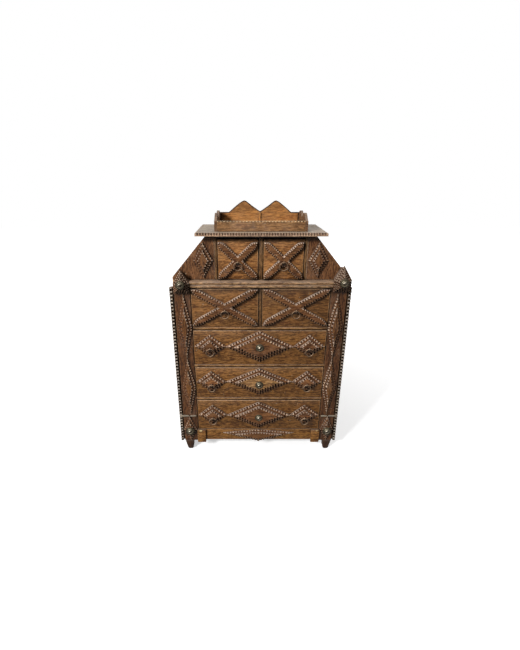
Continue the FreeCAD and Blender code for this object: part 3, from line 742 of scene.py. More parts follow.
def metal(name, ground, hollow, rough=0.4, wear_and_highlight=(0.40, 0.34, 0.23), toward=(-0.18, 0.26, 0.62)):
    """Old brass: dark in its hollows, worn bright on its edges, and a painted highlight where it faces toward
    the given direction.
    """
    if name in bpy.data.materials:
        return bpy.data.materials[name]
    material, n, shader, place = new_material(name)
    cloud = n.noise(place, 300, 300, 4.0, 0.6)
    patina = n.mix(n.band(cloud, 0.40, 0.62), rgba(hollow), rgba(ground))
    painted_highlight = n.effect("rubbed and lit side", Pale=rgba(wear_and_highlight), Shaded=patina, Least=0.0, Toward=toward,
                      Vector=place)
    edge = n.effect("worn edge", Radius=0.8 * MM, Vector=place)
    n.feed(shader, {'Base Color': n.mix(n.times(edge, 0.2), painted_highlight, rgba(wear_and_highlight)),
                    'Roughness': n.band(cloud, 0.3, 0.7, rough - 0.08, rough + 0.2),
                    'Normal': n.bump(cloud, 0.2, 0.2 * MM), 'Metallic': 0.5, 'Specular IOR Level': 0.2})
    return material


def carved_finish(grain='X', shift=0.0, shade=1.0, label="carving", least=0.2, toward=(0, 0, 1)):
    """Materials of a carved piece: face, rim and notches. The rim is pale where it faces toward, wear with a
    painted highlight, and the notches are brown on the side that faces up and near black elsewhere, painted
    light and shade over dirt.
    """
    c = colours()
    ground, pale, notch, lit = (shaded(v, shade) for v in (c.carving, c.worn_and_lit_rim, c.notch, c.lit_notch))
    return (wood(f"{label} face {grain}", ground, grain, shift, contrast=1.4, wear=0.35),
            wood(f"{label} rim {grain}", pale, grain, shift + 1, contrast=0.55, dirt=0.7, bloom=0.1,
                 wear=0.35, settled=0.55, rim_of=ground, least=least, toward=toward),
            wood(f"{label} notch {grain}", lit, grain, shift + 2, contrast=0.6, dirt=0.6, bloom=0.0,
                 wear=0.0, coat=0.0, settled=0.0, crevice_dirt_and_shade=0.8, gloss=0.0, rim_of=notch, least=0.0,
                 toward=(0, 0.3, 1)))


def case_wood(grain='Z', shift=0.0):
    return wood(f"case {grain} {shift:g}", colours().case, grain, shift, contrast=1.3, dirt=0.7, wear=0.55)


def bare_wood(grain='Y'):
    return wood(f"bare {grain}", colours().bare, grain, 5.0, contrast=0.6, dirt=0.6, bloom=0.25, wear=0.2,
                coat=0.0)


def wire_metal():
    c = colours()
    # the wire has a painted highlight where it faces up
    return metal("wire", c.wire, c.wire_hollow, 0.5, c.wire_highlight)


# ================================================================ brass
def add_turning(name, profile, sides, material):
    """A turned form standing on the origin along Z: profile is (radius, height) from the base."""
    deselect_all()
    bpy.ops.mesh.primitive_circle_add(vertices=sides, radius=profile[0][0], fill_type='NGON',
                                      location=(0, 0, profile[0][1]))
    turned = name_piece(bpy.context.object, name)
    bpy.ops.object.transform_apply(location=True, rotation=True, scale=True)
    steps = [select_everything]
    for (r0, h0), (r1, h1) in zip(profile, profile[1:]):
        def grow(ratio=r1 / r0, rise=h1 - h0):
            bpy.ops.mesh.extrude_region_move(TRANSFORM_OT_translate={"value": (0, 0, rise)})
            bpy.ops.transform.resize(value=(ratio, ratio, 1), center_override=(0, 0, 0))
        steps.append(grow)
    edit(*steps, face_outwards)
    return smooth(dress(turned, material), 40)


def add_torus(name, centre, turn, radius, wire, rounds, sides):
    """A ring of wire; turn is how it is turned from lying flat."""
    deselect_all()
    bpy.ops.mesh.primitive_torus_add(major_radius=radius, minor_radius=wire, major_segments=rounds,
                                     minor_segments=sides, location=centre, rotation=turn)
    torus = name_piece(bpy.context.object, name)
    bpy.ops.object.transform_apply(location=True, rotation=True, scale=True)
    return smooth(dress(torus, wire_metal()), 60)


def to_front(x, y, z, width=1.0):
    """Stands a form made along Z on a front surface at this place, made wider or not."""
    upright = Matrix.Translation((x, y, z)) @ Matrix.Rotation(math.radians(90), 4, 'X')
    return upright @ Matrix.Diagonal((width, width, 1, 1))


# (radius, height) from the base to the top, as shares of the stud's own
STUD_PROFILE = ((0.97, 0), (1, 0.06), (1, 0.16), (0.93, 0.24), (0.86, 0.20), (0.80, 0.26), (0.70, 0.28),
                (0.64, 0.40), (0.58, 0.46), (0.52, 0.40), (0.48, 0.22), (0.44, 0.22), (0.43, 0.46),
                (0.37, 0.70), (0.27, 0.88), (0.15, 0.97), (0.05, 1))
BEAD_CIRCLE, RING_REACH, RING_INSIDE, BUTTON_REACH = 0.80, 0.66, 0.50, 0.44


def stud_model():
    """The brass stud: rim with beads, raised ring, hollow and button."""
    if "stud model" in bpy.data.objects:
        return bpy.data.objects["stud model"]
    b, c = brass_sizes(), colours()
    r, h = b.stud_radius, b.stud_height
    # the stud, its ring and its button carry a painted highlight on their upper sides
    brass = metal("dark brass", c.brass, c.brass_hollow, 0.5, c.brass_highlight, (-0.12, 0.45, 0.8))
    turned = add_turning("stud model", [(r * a, h * z) for a, z in STUD_PROFILE], 40, brass)
    dress(turned, brass, metal("rubbed brass", c.stud_ring, c.stud_ring_hollow),
          metal("button brass", c.button, c.button_hollow, 0.2, c.button_highlight, (-0.35, 0.46, 0.75)))
    for polygon in turned.data.polygons:
        out = math.hypot(polygon.center.x, polygon.center.y) / r
        if polygon.normal.z > 0 and out < RING_REACH:
            polygon.material_index = 2 if out < BUTTON_REACH else 1 if out > RING_INSIDE else 0
    parts = [turned]
    for k in range(b.petals):
        turn = 2 * math.pi * k / b.petals
        place = Vector((math.cos(turn), math.sin(turn), 0)) * r * BEAD_CIRCLE
        deselect_all()
        bpy.ops.mesh.primitive_ico_sphere_add(subdivisions=2, radius=r * 0.11,
                                              location=place + Vector((0, 0, h * 0.28)))
        bead = bpy.context.object
        bead.scale = (1, 1, 0.7)
        bpy.ops.object.transform_apply(location=True, rotation=True, scale=True)
        parts.append(smooth(dress(bead, brass)))
    model = join("stud model", parts)
    bpy.context.collection.objects.unlink(model)
    model.data.use_fake_user = True
    return model


def eye_parts(x, y, z):
    """A screw eye on a small dark plate, at the surface y."""
    b = brass_sizes()
    # the dark plate stands for finger grime and painted shade inside the ring
    dark = wood("dark ground", colours().eye_plate, 'X', 4.4, contrast=0.6, bloom=0.0, wear=0.0)
    profile = [(r * MM, h * MM) for r, h in ((4.0, 0), (4.0, 0.2), (3.6, 0.4), (1.6, 0.5))]
    plate = add_turning("eye plate", profile, 36, dark)
    plate.data.transform(to_front(x, y, z - 3.4 * MM))
    reach = 1.0 * MM + b.eye_radius + b.eye_wire
    return [plate, add_torus("eye loop", (x, y - reach, z), (0, math.radians(90), 0), b.eye_radius,
                             b.eye_wire, 28, 10)]


def pull_pivot(body):
    """The point in its screw eye that a ring swings about."""
    return Vector(next(joint["pos_m"] for joint in frame["joints"] if joint["child"] == body))


# ================================================================ operators
class CABINET_OT_case_boards(Operator):
    """Plain boards of the case: sides, back, shelves, uprights, slopes, ledge and front rail"""
    bl_idname = "cabinet.case_boards"
    bl_label = "Case boards"

    def execute(self, context):
        c = colours()
        shelf = wood("shelf", c.shelf, 'X', 2.1, contrast=1.2, wear=0.9)
        ledge = wood("ledge", c.ledge, 'X', 4.1, contrast=1.7, dirt=0.7, bloom=0.2, wear=0.9)
        rail = wood("front rail", c.apron, 'X', 4.7, contrast=1.6, dirt=0.6, bloom=0.05, wear=0.8)
        foot = wood("foot", c.foot, 'Z', 5.3, contrast=0.8, dirt=0.6, bloom=0.1, wear=0.3)
        boards = (("left_side_panel", case_wood('Z', 0.3), 0.7),
                  ("right_side_panel", case_wood('Z', 0.9), 0.7), ("drawer_shelves", shelf, 0.9),
                  ("sloped_boards", case_wood('Y', 3.3), 0.7), ("ledge", ledge, 0.8),
                  ("apron", rail, 1.0), ("feet", foot, 2.2))
        for node, finish, ease in boards:
            piece = smooth(dress(eased_copy(node + "_wood", node, ease * MM), finish))
            if node == "apron":
                piece = join(node + "_wood", [piece, *self.chips()])
            hang(piece, "case", node)
        back = smooth(dress(eased_copy("back_panel_wood", "back_panel"), bare_wood('Z')))
        hang(back, "case", "back_panel")
        self.uprights()
        return {'FINISHED'}

    @staticmethod
    def chips():
        """Bare spots where the corners of the rail's blocks are knocked."""
        low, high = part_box("apron")
        c = colours()
        from_end, from_top = 4.5, 1.2
        # corners of a chip as shares of its width, from the block's end, and of its drop
        shares = ((1, 0.35), (0.65, 1), (0.25, 0.85), (0, 0.4), (0.3, 0), (0.8, 0))
        chips = []
        for side, width, drop, tone in ((-1, 7.5, 4.6, c.left_chip), (1, 5.0, 3.6, c.right_chip)):
            outline = [(side * (high.x - (from_end + width * across) * MM),
                        high.z - (from_top + drop * down) * MM) for across, down in shares]
            if side < 0:
                outline.reverse()
            chip = add_plate(f"chip_{len(chips)}", outline, -low.y - 0.5 * MM, -low.y + 0.15 * MM)
            bare = wood(f"chip {len(chips)}", tone, 'X', 5.9, contrast=0.8, dirt=0.4, bloom=0.0, wear=0.4)
            chips.append(dress(chip, bare))
        return chips

    @staticmethod
    def uprights():
        """Stiles between the small drawers, the boards that guide the drawers and the top front rail, which
        is near black as painted shade under the top board.
        """
        ledge_low, ledge_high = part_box("ledge")
        lower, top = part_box("drawer_uprights")[0].z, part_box("top_board")[0].z
        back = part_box("back_panel")[0].y
        post_face, upper_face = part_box("right_post")[0].y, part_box("wing_panels")[0].y
        shelf, rail, guide_front = 319.4 * MM, 501.7 * MM, -42.75 * MM
        upper_guide, lower_guide = (86.9, 91.9), (142.7, 147.7)
        boards = [(-2.65, 2.65, post_face, shelf, ledge_low.z), (-4.0, 4.0, upper_face, ledge_high.z, rail)]
        for side in (-1, 1):
            boards.append((*on_side(side, *lower_guide), guide_front, lower, ledge_low.z))
            boards.append((*on_side(side, *upper_guide), upper_face, ledge_high.z, top))
        stile = wood("stile", shaded(colours().shelf, 0.48), 'Z', 2.9, contrast=1.4, dirt=0.6)
        # the top front rail is near black: painted shade under the overhanging top board
        dark = wood("rail dark as shade", colours().foot, 'X', 2.4, contrast=0.8, dirt=0.6, bloom=0.0, wear=0.1)
        pieces = []
        for letter, (x0, x1, front, floor, head) in zip(LETTERS, boards):
            board = add_board(f"upright_{letter}", (x0 * MM, front, floor), (x1 * MM, back, head), 0.8 * MM)
            pieces.append(dress(board, stile))
        half, thickness = upper_guide[0] * MM, 12 * MM
        board = add_board("front_rail", (-half, upper_face, rail), (half, upper_face + thickness, top))
        pieces.append(dress(board, dark))
        hang(smooth(join("drawer_uprights_wood", pieces)), "case", "drawer_uprights")


class CABINET_OT_posts(Operator):
    """Front posts with their toothed edges, lozenges, strips and kites"""
    bl_idname = "cabinet.posts"
    bl_label = "Posts"

    def execute(self, context):
        for side, sign in (("right", 1), ("left", -1)):
            self.boards(side, sign)
            self.ornament(side, sign)
        return {'FINISHED'}

    @staticmethod
    def boards(side, sign):
        """A plain facing, a channel and a row of teeth on a board behind them. The channel and the teeth's
        flanks are near black, dirt and painted shade.
        """
        low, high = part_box("right_post")
        facing, teeth, channel = 4 * MM, 5.8 * MM, 3.3 * MM
        edge, behind = high.x - teeth - channel, low.y + facing
        c = colours()
        plain = case_wood('Z', 6.1)
        tips = wood("post teeth", c.post_teeth, 'Z', 6.6, contrast=0.4, dirt=0.7, bloom=0.1, wear=0.2)
        # near black for the channel and the teeth's flanks: dirt and painted shade
        gap = wood("tooth gap shade", c.notch, 'Z', 6.9, contrast=0.5, coat=0.0, settled=0.0, gloss=0.0)

        def board(part, a, b, front, rear, finish, short=0.0, ease=None):
            x0, x1 = on_side(sign, a, b)
            return dress(add_board(f"{side}_post_{part}", (x0, front, low.z + short),
                                   (x1, rear, high.z - short), ease), finish)

        pieces = [board("facing", low.x, edge, low.y, behind, plain, ease=0.9 * MM),
                  board("channel", edge - MM, high.x - teeth + MM, low.y + 3.2 * MM, behind + MM, gap,
                        MM, 0.2 * MM),
                  add_rack(f"{side}_post_teeth", *on_side(sign, high.x - teeth, high.x), low.z, high.z,
                           -behind, -low.y, 7.6 * MM, (plain, tips, gap)),
                  board("back", low.x, high.x - 1.5 * MM, behind, high.y, plain)]
        hang(join(f"{side}_post_wood", pieces), "case", f"{side}_post")

    def ornament(self, side, sign):
        """Two tall lozenges, a kite and two thin strips."""
        low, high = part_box("right_post")
        face, c = -low.y, colours()
        # the lozenges' rims are pale on the sides toward the middle, wear and painted highlight, and the
        # right post's carving is darker, painted shade
        carved = carved_finish('Z', 0.0, 0.95 if sign < 0 else 0.82, f"{side} post", 0.12,
                               (-0.8 * sign, 0, 0.6))
        field = wood("post field", c.post_field, 'Z', 7.7, contrast=1.3, dirt=0.7)
        grey = wood("grey strip", c.post_strip, 'X', 8.8, contrast=0.7, dirt=0.6, bloom=0.3)
        cut = {"layer": 4, "step": 6, "reach": 3.3, "drop": 3.0, "rim": 2.5, "fall": 1.0,
               "top_finish": (field, *carved[1:])}
        half_width, bottom = 14.3 * MM, 101.0 * MM
        half_height = (high.z - 12.2 * MM - bottom) / 4
        plates = []
        for n in (1, 3):
            outline = self.spindle(low.x + half_width, bottom + n * half_height, half_width,
                                   half_height - 0.2 * MM, 6 * MM)
            plates += self.placed(f"{side}_post_lozenge_{n}", outline, face, carved,
                                  [0.5, 4, 0.5, 0.5, 4, 0.5], sign, cut)
        middle, half_width, shoulder = 160.5 * MM, 15 * MM, 59 * MM
        kite = [(middle - half_width, shoulder), (middle, 28 * MM), (middle + half_width, shoulder),
                (middle, 97 * MM)]
        # the kites' rims are pale, most where they face up: wear and painted highlight
        wear_and_highlight = carved_finish('Z', 0.0, 1.0, "kite", 0.55, (0.0, 0.2, 0.9))
        plates += self.placed(f"{side}_kite", kite, face, wear_and_highlight, [1, 2, 1, 2], sign, dict(cut, step=5))
        for n, ends in enumerate(((1.9, 16.4), (19.2, 39.9))):
            x0, x1 = on_side(sign, *(low.x + end * MM for end in ends))
            strip = add_board(f"{side}_strip_{n}", (x0, -face - 2.5 * MM, 94.4 * MM),
                              (x1, -face, 98.2 * MM), 0.9 * MM)
            plates.append(dress(strip, grey))
        hang(join(f"{side}_post_carving", plates), "case", f"{side}_post_ornament")

    @staticmethod
    def spindle(x, z, half_width, half_height, flat):
        """A long lozenge whose side corners are cut upright."""
        return [(x - half_width, z - flat), (x, z - half_height), (x + half_width, z - flat),
                (x + half_width, z + flat), (x, z + half_height), (x - half_width, z + flat)]

    @staticmethod
    def placed(name, outline, face, finish, tips, sign, cut):
        """Layers of an outline drawn for the right post, on either post."""
        if sign < 0:
            outline, tips = mirrored(outline), tips[::-1]
        return stacked(name, outline, face, finish, tips, **cut)


class CABINET_OT_wings(Operator):
    """Wing panels beside the small drawers, with their diamonds"""
    bl_idname = "cabinet.wings"
    bl_label = "Wings"

    def execute(self, context):
        low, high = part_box("wing_panels")
        end_height, slope_top, from_drawer = 5.47 * MM, 107.0 * MM, 5.7 * MM
        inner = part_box("upper_right_box")[1].x + from_drawer
        corners = [(inner, low.z), (high.x, low.z), (high.x, low.z + end_height), (slope_top, high.z),
                   (inner, high.z)]
        board = wood("wing", colours().wings, 'Z', 7.3, contrast=1.5, wear=0.7)
        finish = (board, *carved_finish('Z')[1:])
        diamond_low, diamond_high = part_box("wing_diamonds")
        half_width, half_height = 19.5 * MM, (diamond_high.z - diamond_low.z) / 2
        centre_x, centre_z = diamond_high.x - half_width, (diamond_low.z + diamond_high.z) / 2
        panels, diamonds = [], []
        for side, sign in (("right", 1), ("left", -1)):
            runs = closed_runs(corners, [2] * 5, plain=(0, 1, 3, 4))
            panels.append(carve(f"{side}_wing_panel", runs if sign > 0 else mirrored_runs(runs), -high.y,
                                -low.y, finish, wall=0, pitch=5.6, reach=2.0, drop=3.0, rim=0.8, fall=0.6))
            # the diamonds' rims are pale where they face up and toward the middle, wear and painted highlight
            carved = carved_finish('Z', 0.0, 0.84, f"{side} wing", 0.15, (-0.7 * sign, 0, 0.7))
            outline = lozenge(sign * centre_x, centre_z, half_width, half_height)
            diamonds += stacked(f"{side}_wing_diamond", outline, -low.y, carved, [1, 2, 1, 2], step=6.5,
                                pitch=5.0, reach=3.6, rim=2.8)
        hang(join("wing_boards", panels), "case", "wing_panels")
        hang(join("wing_carving", diamonds), "case", "wing_diamonds")
        return {'FINISHED'}


class CABINET_OT_apron_lens(Operator):
    """The low two-layer lens on the front rail"""
    bl_idname = "cabinet.apron_lens"
    bl_label = "Lens on the front rail"

    def execute(self, context):
        low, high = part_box("apron_lens")
        tips_z = 48.6 * MM
        outline = [(low.x, tips_z), (0, low.z), (high.x, tips_z), (0, high.z)]
        plates = stacked("apron_lens", outline, -high.y, carved_finish('X', 0.5, 0.92, "lens", 0.95),
                         [5, 1, 5, 1], layer=3, step=5.5, reach=3.2, drop=2.4, rim=2.4, fall=0.8)
        hang(join("apron_carving", plates), "case", "apron_lens")
        return {'FINISHED'}


class CABINET_OT_corner_houses(Operator):
    """Stacked house-shaped corner pieces over the ends of the ledge"""
    bl_idname = "cabinet.corner_houses"
    bl_label = "Corner houses"

    def execute(self, context):
        ledge_low, ledge_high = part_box("ledge")
        face = -ledge_low.y
        wing_face, post_face = -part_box("wing_panels")[0].y, -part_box("right_post")[0].y
        # middle, half width, drop below the ledge, height of the walls and of the ridge
        houses = (("left_house", -158.8, 16.0, 10.1, 21.0, 46.5),
                  ("right_house", 162.8, 17.5, 6.6, 24.0, 53.0))
        finish = carved_finish('Z', 0.4, 0.6, "house")
        pieces = []
        for name, *measures in houses:
            x, half, drop, wall, height = (measure * MM for measure in measures)
            bottom = ledge_low.z - drop
            corners = [(x - half, bottom), (x + half, bottom), (x + half, bottom + wall),
                       (x, bottom + height), (x - half, bottom + wall)]
            pieces += stacked(name, corners, face, finish, [1] * 5, layers=4, layer=3.5, step=3.4, pitch=4.7,
                              reach=2.7, drop=2.8, rim=2.0, fall=0.9)
            (left, foot), (right, _), (_, eaves), ridge, _ = inset(corners, 3 * MM)
            top = ledge_high.z
            above = [(left, top), (right, top)]
            if eaves > top:
                above += [(right, eaves), ridge, (left, eaves)]
            else:
                run = (eaves - top) / (ridge[1] - eaves) * (right - x)
                above = [(2 * x - right - run, top), (right + run, top), ridge]
            below = [(left, foot), (right, foot), (right, ledge_low.z), (left, ledge_low.z)]
            for part, outline, back in (("core", above, wing_face), ("foot", below, post_face)):
                pieces.append(dress(add_plate(f"{name}_{part}", outline, back, face), *finish))
        hang(join("corner_house_carving", pieces), "case", "corner_houses")
        return {'FINISHED'}


class CABINET_OT_top(Operator):
    """The overhanging top board and the tray on it"""
    bl_idname = "cabinet.top"
    bl_label = "Top board and tray"

    def execute(self, context):
        self.top_board()
        self.rail()
        self.tray_sides()
        self.tray_back()
        return {'FINISHED'}

    def top_board(self):
        low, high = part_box("top_board")
        c = colours()
        corners = [(low.x, low.y), (high.x, low.y), (high.x, high.y), (low.x, high.y)]
        dusty = wood("dusty top", c.top_board, 'X', 8.1, contrast=0.9, dirt=0.6, bloom=0.3, wear=0.4,
                     coat=0.0, settled=0.3)
        edge = wood("top board edge", c.top_edge, 'X', 8.5, contrast=0.7, dirt=0.6, bloom=0.1, wear=0.9)
        # the notches are darker than the edge: dirt and painted shade in the cuts
        cut = wood("top board notch", c.top_notch, 'X', 8.9, contrast=0.9, dirt=0.6, bloom=0.0, wear=0.2,
                   wear_radius=0.6, gloss=0.0)
        board = carve("top_board_wood", closed_runs(corners, [3] * 4, plain=(2,)), low.z, high.z,
                      (dusty, edge, cut), LEVEL, pitch=5.2, reach=3.0, drop=6.0, rim=2.4, fall=1.0)
        hang(board, "case", "top_board")

    def rail(self):
        low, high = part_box("tray_rail")
        c = colours()
        corners = [(low.x, low.z), (high.x, low.z), (high.x, high.z), (low.x, high.z)]
        board = wood("tray rail", c.tray_rail, 'X', 9.2, bloom=0.25)
        pale = wood("tray rail edge", c.tray_rail_edge, 'X', 9.4, contrast=0.6, dirt=0.6, bloom=0.0, wear=0.4)
        rail = carve("tray_rail_wood", closed_runs(corners, [1.5] * 4, plain=(0, 1, 3)), -high.y, -low.y,
                     (board, pale, carved_finish('X')[2]), pitch=6.2, reach=2.4, drop=0, rim=1.6, fall=0.5)
        for polygon in rail.data.polygons:
            if polygon.material_index == 1 and polygon.normal.z < 0.2:
                polygon.material_index = 0
        hang(rail, "case", "tray_rail")

    def tray_sides(self):
        """Two peaks with a valley between them, and the back end higher than the front end."""
        low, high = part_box("tray_sides")
        front_end, back_end, valley, peak, steps, flat_end = 19.7, 27.0, 22.0, 32.5, 24, 0.02
        top = []
        for k in range(steps + 1):
            t = k / steps
            turn = min(max((t - flat_end) / (1 - 2 * flat_end), 0), 1)
            wave = 0.5 - 0.5 * math.cos(4 * math.pi * turn)
            base = valley if 0.25 < t < 0.75 else front_end + (back_end - front_end) * t
            top.append((low.y + (high.y - low.y) * t, low.z + (base + (peak - base) * wave ** 0.8) * MM))
        front, back = (low.y, low.z), (high.y, low.z)
        runs = [([front, back], None), ([back, top[-1]], None), (top[::-1], (2 * MM, 2 * MM)),
                ([top[0], front], None)]
        board = wood("tray side", colours().tray_side, 'Y', 9.9, dirt=0.6, bloom=0.2)
        finish = (board, *carved_finish('Y')[1:])
        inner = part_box("tray_rail")[1].x
        sides = [carve(f"{side}_tray_side", runs, x0, x1, finish, RIGHT, wall=0, pitch=5.6, reach=1.6,
                       drop=0, rim=0.8, fall=0.3)
                 for side, x0, x1 in (("right", inner, high.x), ("left", -high.x, -inner))]
        hang(join("tray_side_wood", sides), "case", "tray_sides")

    def tray_back(self):
        """A board with two peaks, one a little wider than the other, and a batten over its joint."""
        low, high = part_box("tray_back")
        c = colours()
        thickness, batten_half, batten_height = 5.2 * MM, 2.9 * MM, 26.8 * MM
        back, front = -high.y, -(high.y - thickness)
        # one peak from its outer foot to the valley, as distances from the valley and from the floor
        flank = ((66.0, 27.0), (63.0, 29.3), (57.5, 34.2), (50.0, 40.6), (43.0, 46.0), (38.0, 49.3),
                 (33.6, 50.9), (29.6, 49.9), (25.0, 46.4), (17.0, 40.2), (9.0, 34.6), (4.0, 31.2),
                 (0.0, 28.8))
        valley, right_width, left_width, margins = 1.4, 1.018, 1.03, (1.5 * MM, 1.5 * MM)
        right = [((valley + x * right_width) * MM, low.z + z * MM) for x, z in flank]
        left = [((valley - x * left_width) * MM, low.z + z * MM) for x, z in reversed(flank)]
        shoulder = low.z + flank[0][1] * MM
        foot, left_shoulder = (-high.x, low.z), (-high.x, shoulder)
        corners = [foot, (high.x, low.z), (high.x, shoulder), right[0]]
        runs = [([a, b], None) for a, b in zip(corners, corners[1:])]
        runs += [(right, margins), (left, margins), ([left[-1], left_shoulder], None),
                 ([left_shoulder, foot], None)]
        board = wood("tray back", c.tray_back, 'X', 10.7, contrast=0.6, dirt=0.45, bloom=0.05, wear=0.4)
        dark = wood("peak edge", c.peak_edge, 'X', 10.9, contrast=0.8, settled=0.0, gloss=0.0)
        batten = wood("tray batten", c.tray_back, 'Z', 11.9, contrast=0.8, dirt=0.3, bloom=0.3)
        plate = carve("tray_back_board", runs, back, front, (board, dark, dark), pitch=5.2, reach=2.4,
                      drop=2.8, rim=1.9, fall=0.6)
        strip = add_board("tray_batten", (-batten_half, -front - 2 * MM, low.z),
                          (batten_half, -front, low.z + batten_height), 0.6 * MM)
        hang(join("tray_back_wood", [plate, dress(strip, batten)]), "case", "tray_back")


def drawer_box(name, low, high):
    """Sides, back and bottom of a drawer as thin bare boards."""
    side, bottom, rise = 4.5 * MM, 3 * MM, 2 * MM
    left, right, rear = low.x + side, high.x - side, high.y - side
    boards = (("side_l", 'Y', low, (left, high.y, high.z), None),
              ("side_r", 'Y', (right, low.y, low.z), high, None),
              ("back", 'X', (left, rear, low.z), (right, high.y, high.z), None),
              ("floor", 'X', (left, low.y, low.z + rise), (right, rear, low.z + rise + bottom), 0.3 * MM))
    pieces = [dress(add_board(f"{name}_{part}", start, end, ease), bare_wood(grain))
              for part, grain, start, end, ease in boards]
    return smooth(join(name + "_box_wood", pieces))


def drawer_shell(name, body, tone, shift, **look):
    """The front and box of one drawer."""
    finish = wood(f"front {name}", tone, 'X', shift, bloom=0.05, wear=0.8, **look)
    # painted highlight: the eased edges are pale where they face up and to the right, over real wear, and
    # keep the front's colour elsewhere
    arris = wood("front arris", colours().front_arris_wear_and_highlight, 'X', 3.7, bloom=0.0, rim_of=colours().long_fronts,
                 least=0.1, toward=(0.5, 0, 1), crevice_dirt_and_shade=0.3)
    low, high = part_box(name + "_front")
    below, above = Vector((0.8 * MM, 0, 0.3 * MM)), Vector((0.8 * MM, 0, 1.8 * MM))
    board = add_board(name + "_front_wood", low + below, high - above, 1.1 * MM)
    front = smooth(dress(board, finish, arris))
    for polygon in front.data.polygons:
        polygon.material_index = 1 if max(abs(v) for v in polygon.normal) < 0.999 else 0
    hang(front, body, name + "_front")
    hang(drawer_box(name, *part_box(name + "_box")), body, name + "_box")


class CABINET_OT_small_drawers(Operator):
    """The four small drawers with their notched crosses"""
    bl_idname = "cabinet.small_drawers"
    bl_label = "Small drawers"

    def execute(self, context):
        c = colours()
        # colour, its shade, stretch of grain, how far the cross sits off the middle in millimetres,
        # its leaves' length and its notches' size as shares of the usual ones
        # the right-hand drawers are darker than the left-hand ones: painted shade
        upper, middle = (-2.4, 0.68, 0.84), (1.7, 1.0, 1.0)
        drawers = (("upper_left", c.upper_fronts, 1.0, 12.4, upper),
                   ("upper_right", c.upper_fronts, 0.9, 13.9, upper),
                   ("middle_left", c.middle_fronts, 1.0, 14.6, middle),
                   ("middle_right", c.middle_fronts, 0.85, 15.2, middle))
        for name, tone, shade, stretch, look in drawers:
            drawer_shell(name, name + "_drawer", shaded(tone, shade), stretch, contrast=1.25)
            hang(self.cross(name, *look), name + "_drawer", name + "_cross")
        return {'FINISHED'}

    def cross(self, name, offset, leaf, fine):
        """Four arms with leaf-shaped ends, from corner to corner of the drawer front."""
        low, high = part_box(name + "_front")
        margin, shift = 2 * MM, offset * MM
        left, right = low.x + margin, high.x - margin
        bottom = low.z + margin + max(0.0, 2 * shift)
        top = high.z - margin + min(0.0, 2 * shift)
        centre = Vector(((left + right) / 2, (bottom + top) / 2))
        tips = [Vector(p) for p in ((right, bottom), (right, top), (left, top), (left, bottom))]
        half, point = sizes().bar_width / 2, sizes().bar_point * leaf
        near_corner, near_tip = 0.8 * MM, 2 * MM
        runs = []
        for k, tip in enumerate(tips):
            arm = (tip - centre).length
            along = (tip - centre).normalized()
            aside = Vector((along.y, -along.x))
            before = self.crook(centre, tips[k - 1], tip, half)
            after = self.crook(centre, tip, tips[(k + 1) % 4], half)
            # distance from the centre and half width at these shares of the leaf's length
            edge = [(arm - point + point * t, half * (1 - t ** 2.3)) for t in (0.0, 0.2, 0.42, 0.66, 0.86)]
            out = [before, *(centre + along * d + aside * w for d, w in edge), tip]
            back = [tip, *(centre + along * d - aside * w for d, w in reversed(edge)), after]
            runs.append(([tuple(p) for p in out], (near_corner, near_tip)))
            runs.append(([tuple(p) for p in back], (near_tip, near_corner)))
        # the bars' rounded sides are pale on top and darker underneath: wear, painted highlight and painted
        # shade
        carved = carved_finish('X', 0.8, 1.0, "cross", 0.42, (-0.15, 0, 1))
        thickness = 7.5 * MM
        return smooth(carve(name + "_cross_carving", runs, -low.y, -low.y + thickness, carved,
                            dome=2.6 * MM, pitch=5.4 * fine, reach=4.6 * fine, drop=4.4 * fine), 28)

    @staticmethod
    def crook(centre, tip, next_tip, half):
        """Inner corner between two arms."""
        a, b = (tip - centre).normalized(), (next_tip - centre).normalized()
        return centre + (a + b) * half / abs(a.x * b.y - a.y * b.x)


class CABINET_OT_long_drawers(Operator):
    """The three long drawers with their two-layer lozenges"""
    bl_idname = "cabinet.long_drawers"
    bl_label = "Long drawers"

    def execute(self, context):
        c = colours()
        finish = carved_finish('X')
        even, rubbed = (1, 1, 1), (1.2, 1.46, 1.43)
        # shade of the front and of the lozenges, a tone for the middle one, stretch of grain and
        # how far the end lozenges sit above the middle in millimetres
        drawers = (("long_top", 0.98, 1.0, even, 16.3, 4.0), ("long_middle", 1.04, 1.7, rubbed, 17.8, 3.0),
                   ("long_bottom", 0.94, 1.15, even, 18.5, 1.0))
        for name, shade, light, tone, stretch, rise in drawers:
            body = name + "_drawer"
            drawer_shell(name, body, shaded(c.long_fronts, shade), stretch, contrast=1.7, dirt=0.6)
            low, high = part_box(name + "_front")
            all_low, all_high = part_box(name + "_lozenges")
            ground = shaded(c.carving, light)
            field = wood(f"field {name}", ground, 'X', stretch + 3, dirt=0.4)
            centre = wood(f"centre {name}", shaded(ground, *tone), 'X', stretch + 3, contrast=1.3, dirt=0.4)
            end_half, end_height, gap = 32.6 * MM, 26.5 * MM, 0.4 * MM
            end_x = all_high.x - end_half
            outline = lozenge(0, (all_low.z + all_high.z) / 2, end_x - end_half - gap,
                              (all_high.z - all_low.z) / 2)
            plates = stacked(name + "_middle", outline, -low.y, finish, [2, 1, 2, 1],
                             top_finish=(centre, *finish[1:]))
            for side, sign in (("l", -1), ("r", 1)):
                end = lozenge(sign * end_x, (low.z + high.z) / 2 + rise * MM, end_half, end_height)
                plates += stacked(f"{name}_end_{side}", end, -low.y, finish, [1] * 4,
                                  top_finish=(field, *finish[1:]))
            hang(join(name + "_carving", plates), body, name + "_lozenges")
        return {'FINISHED'}


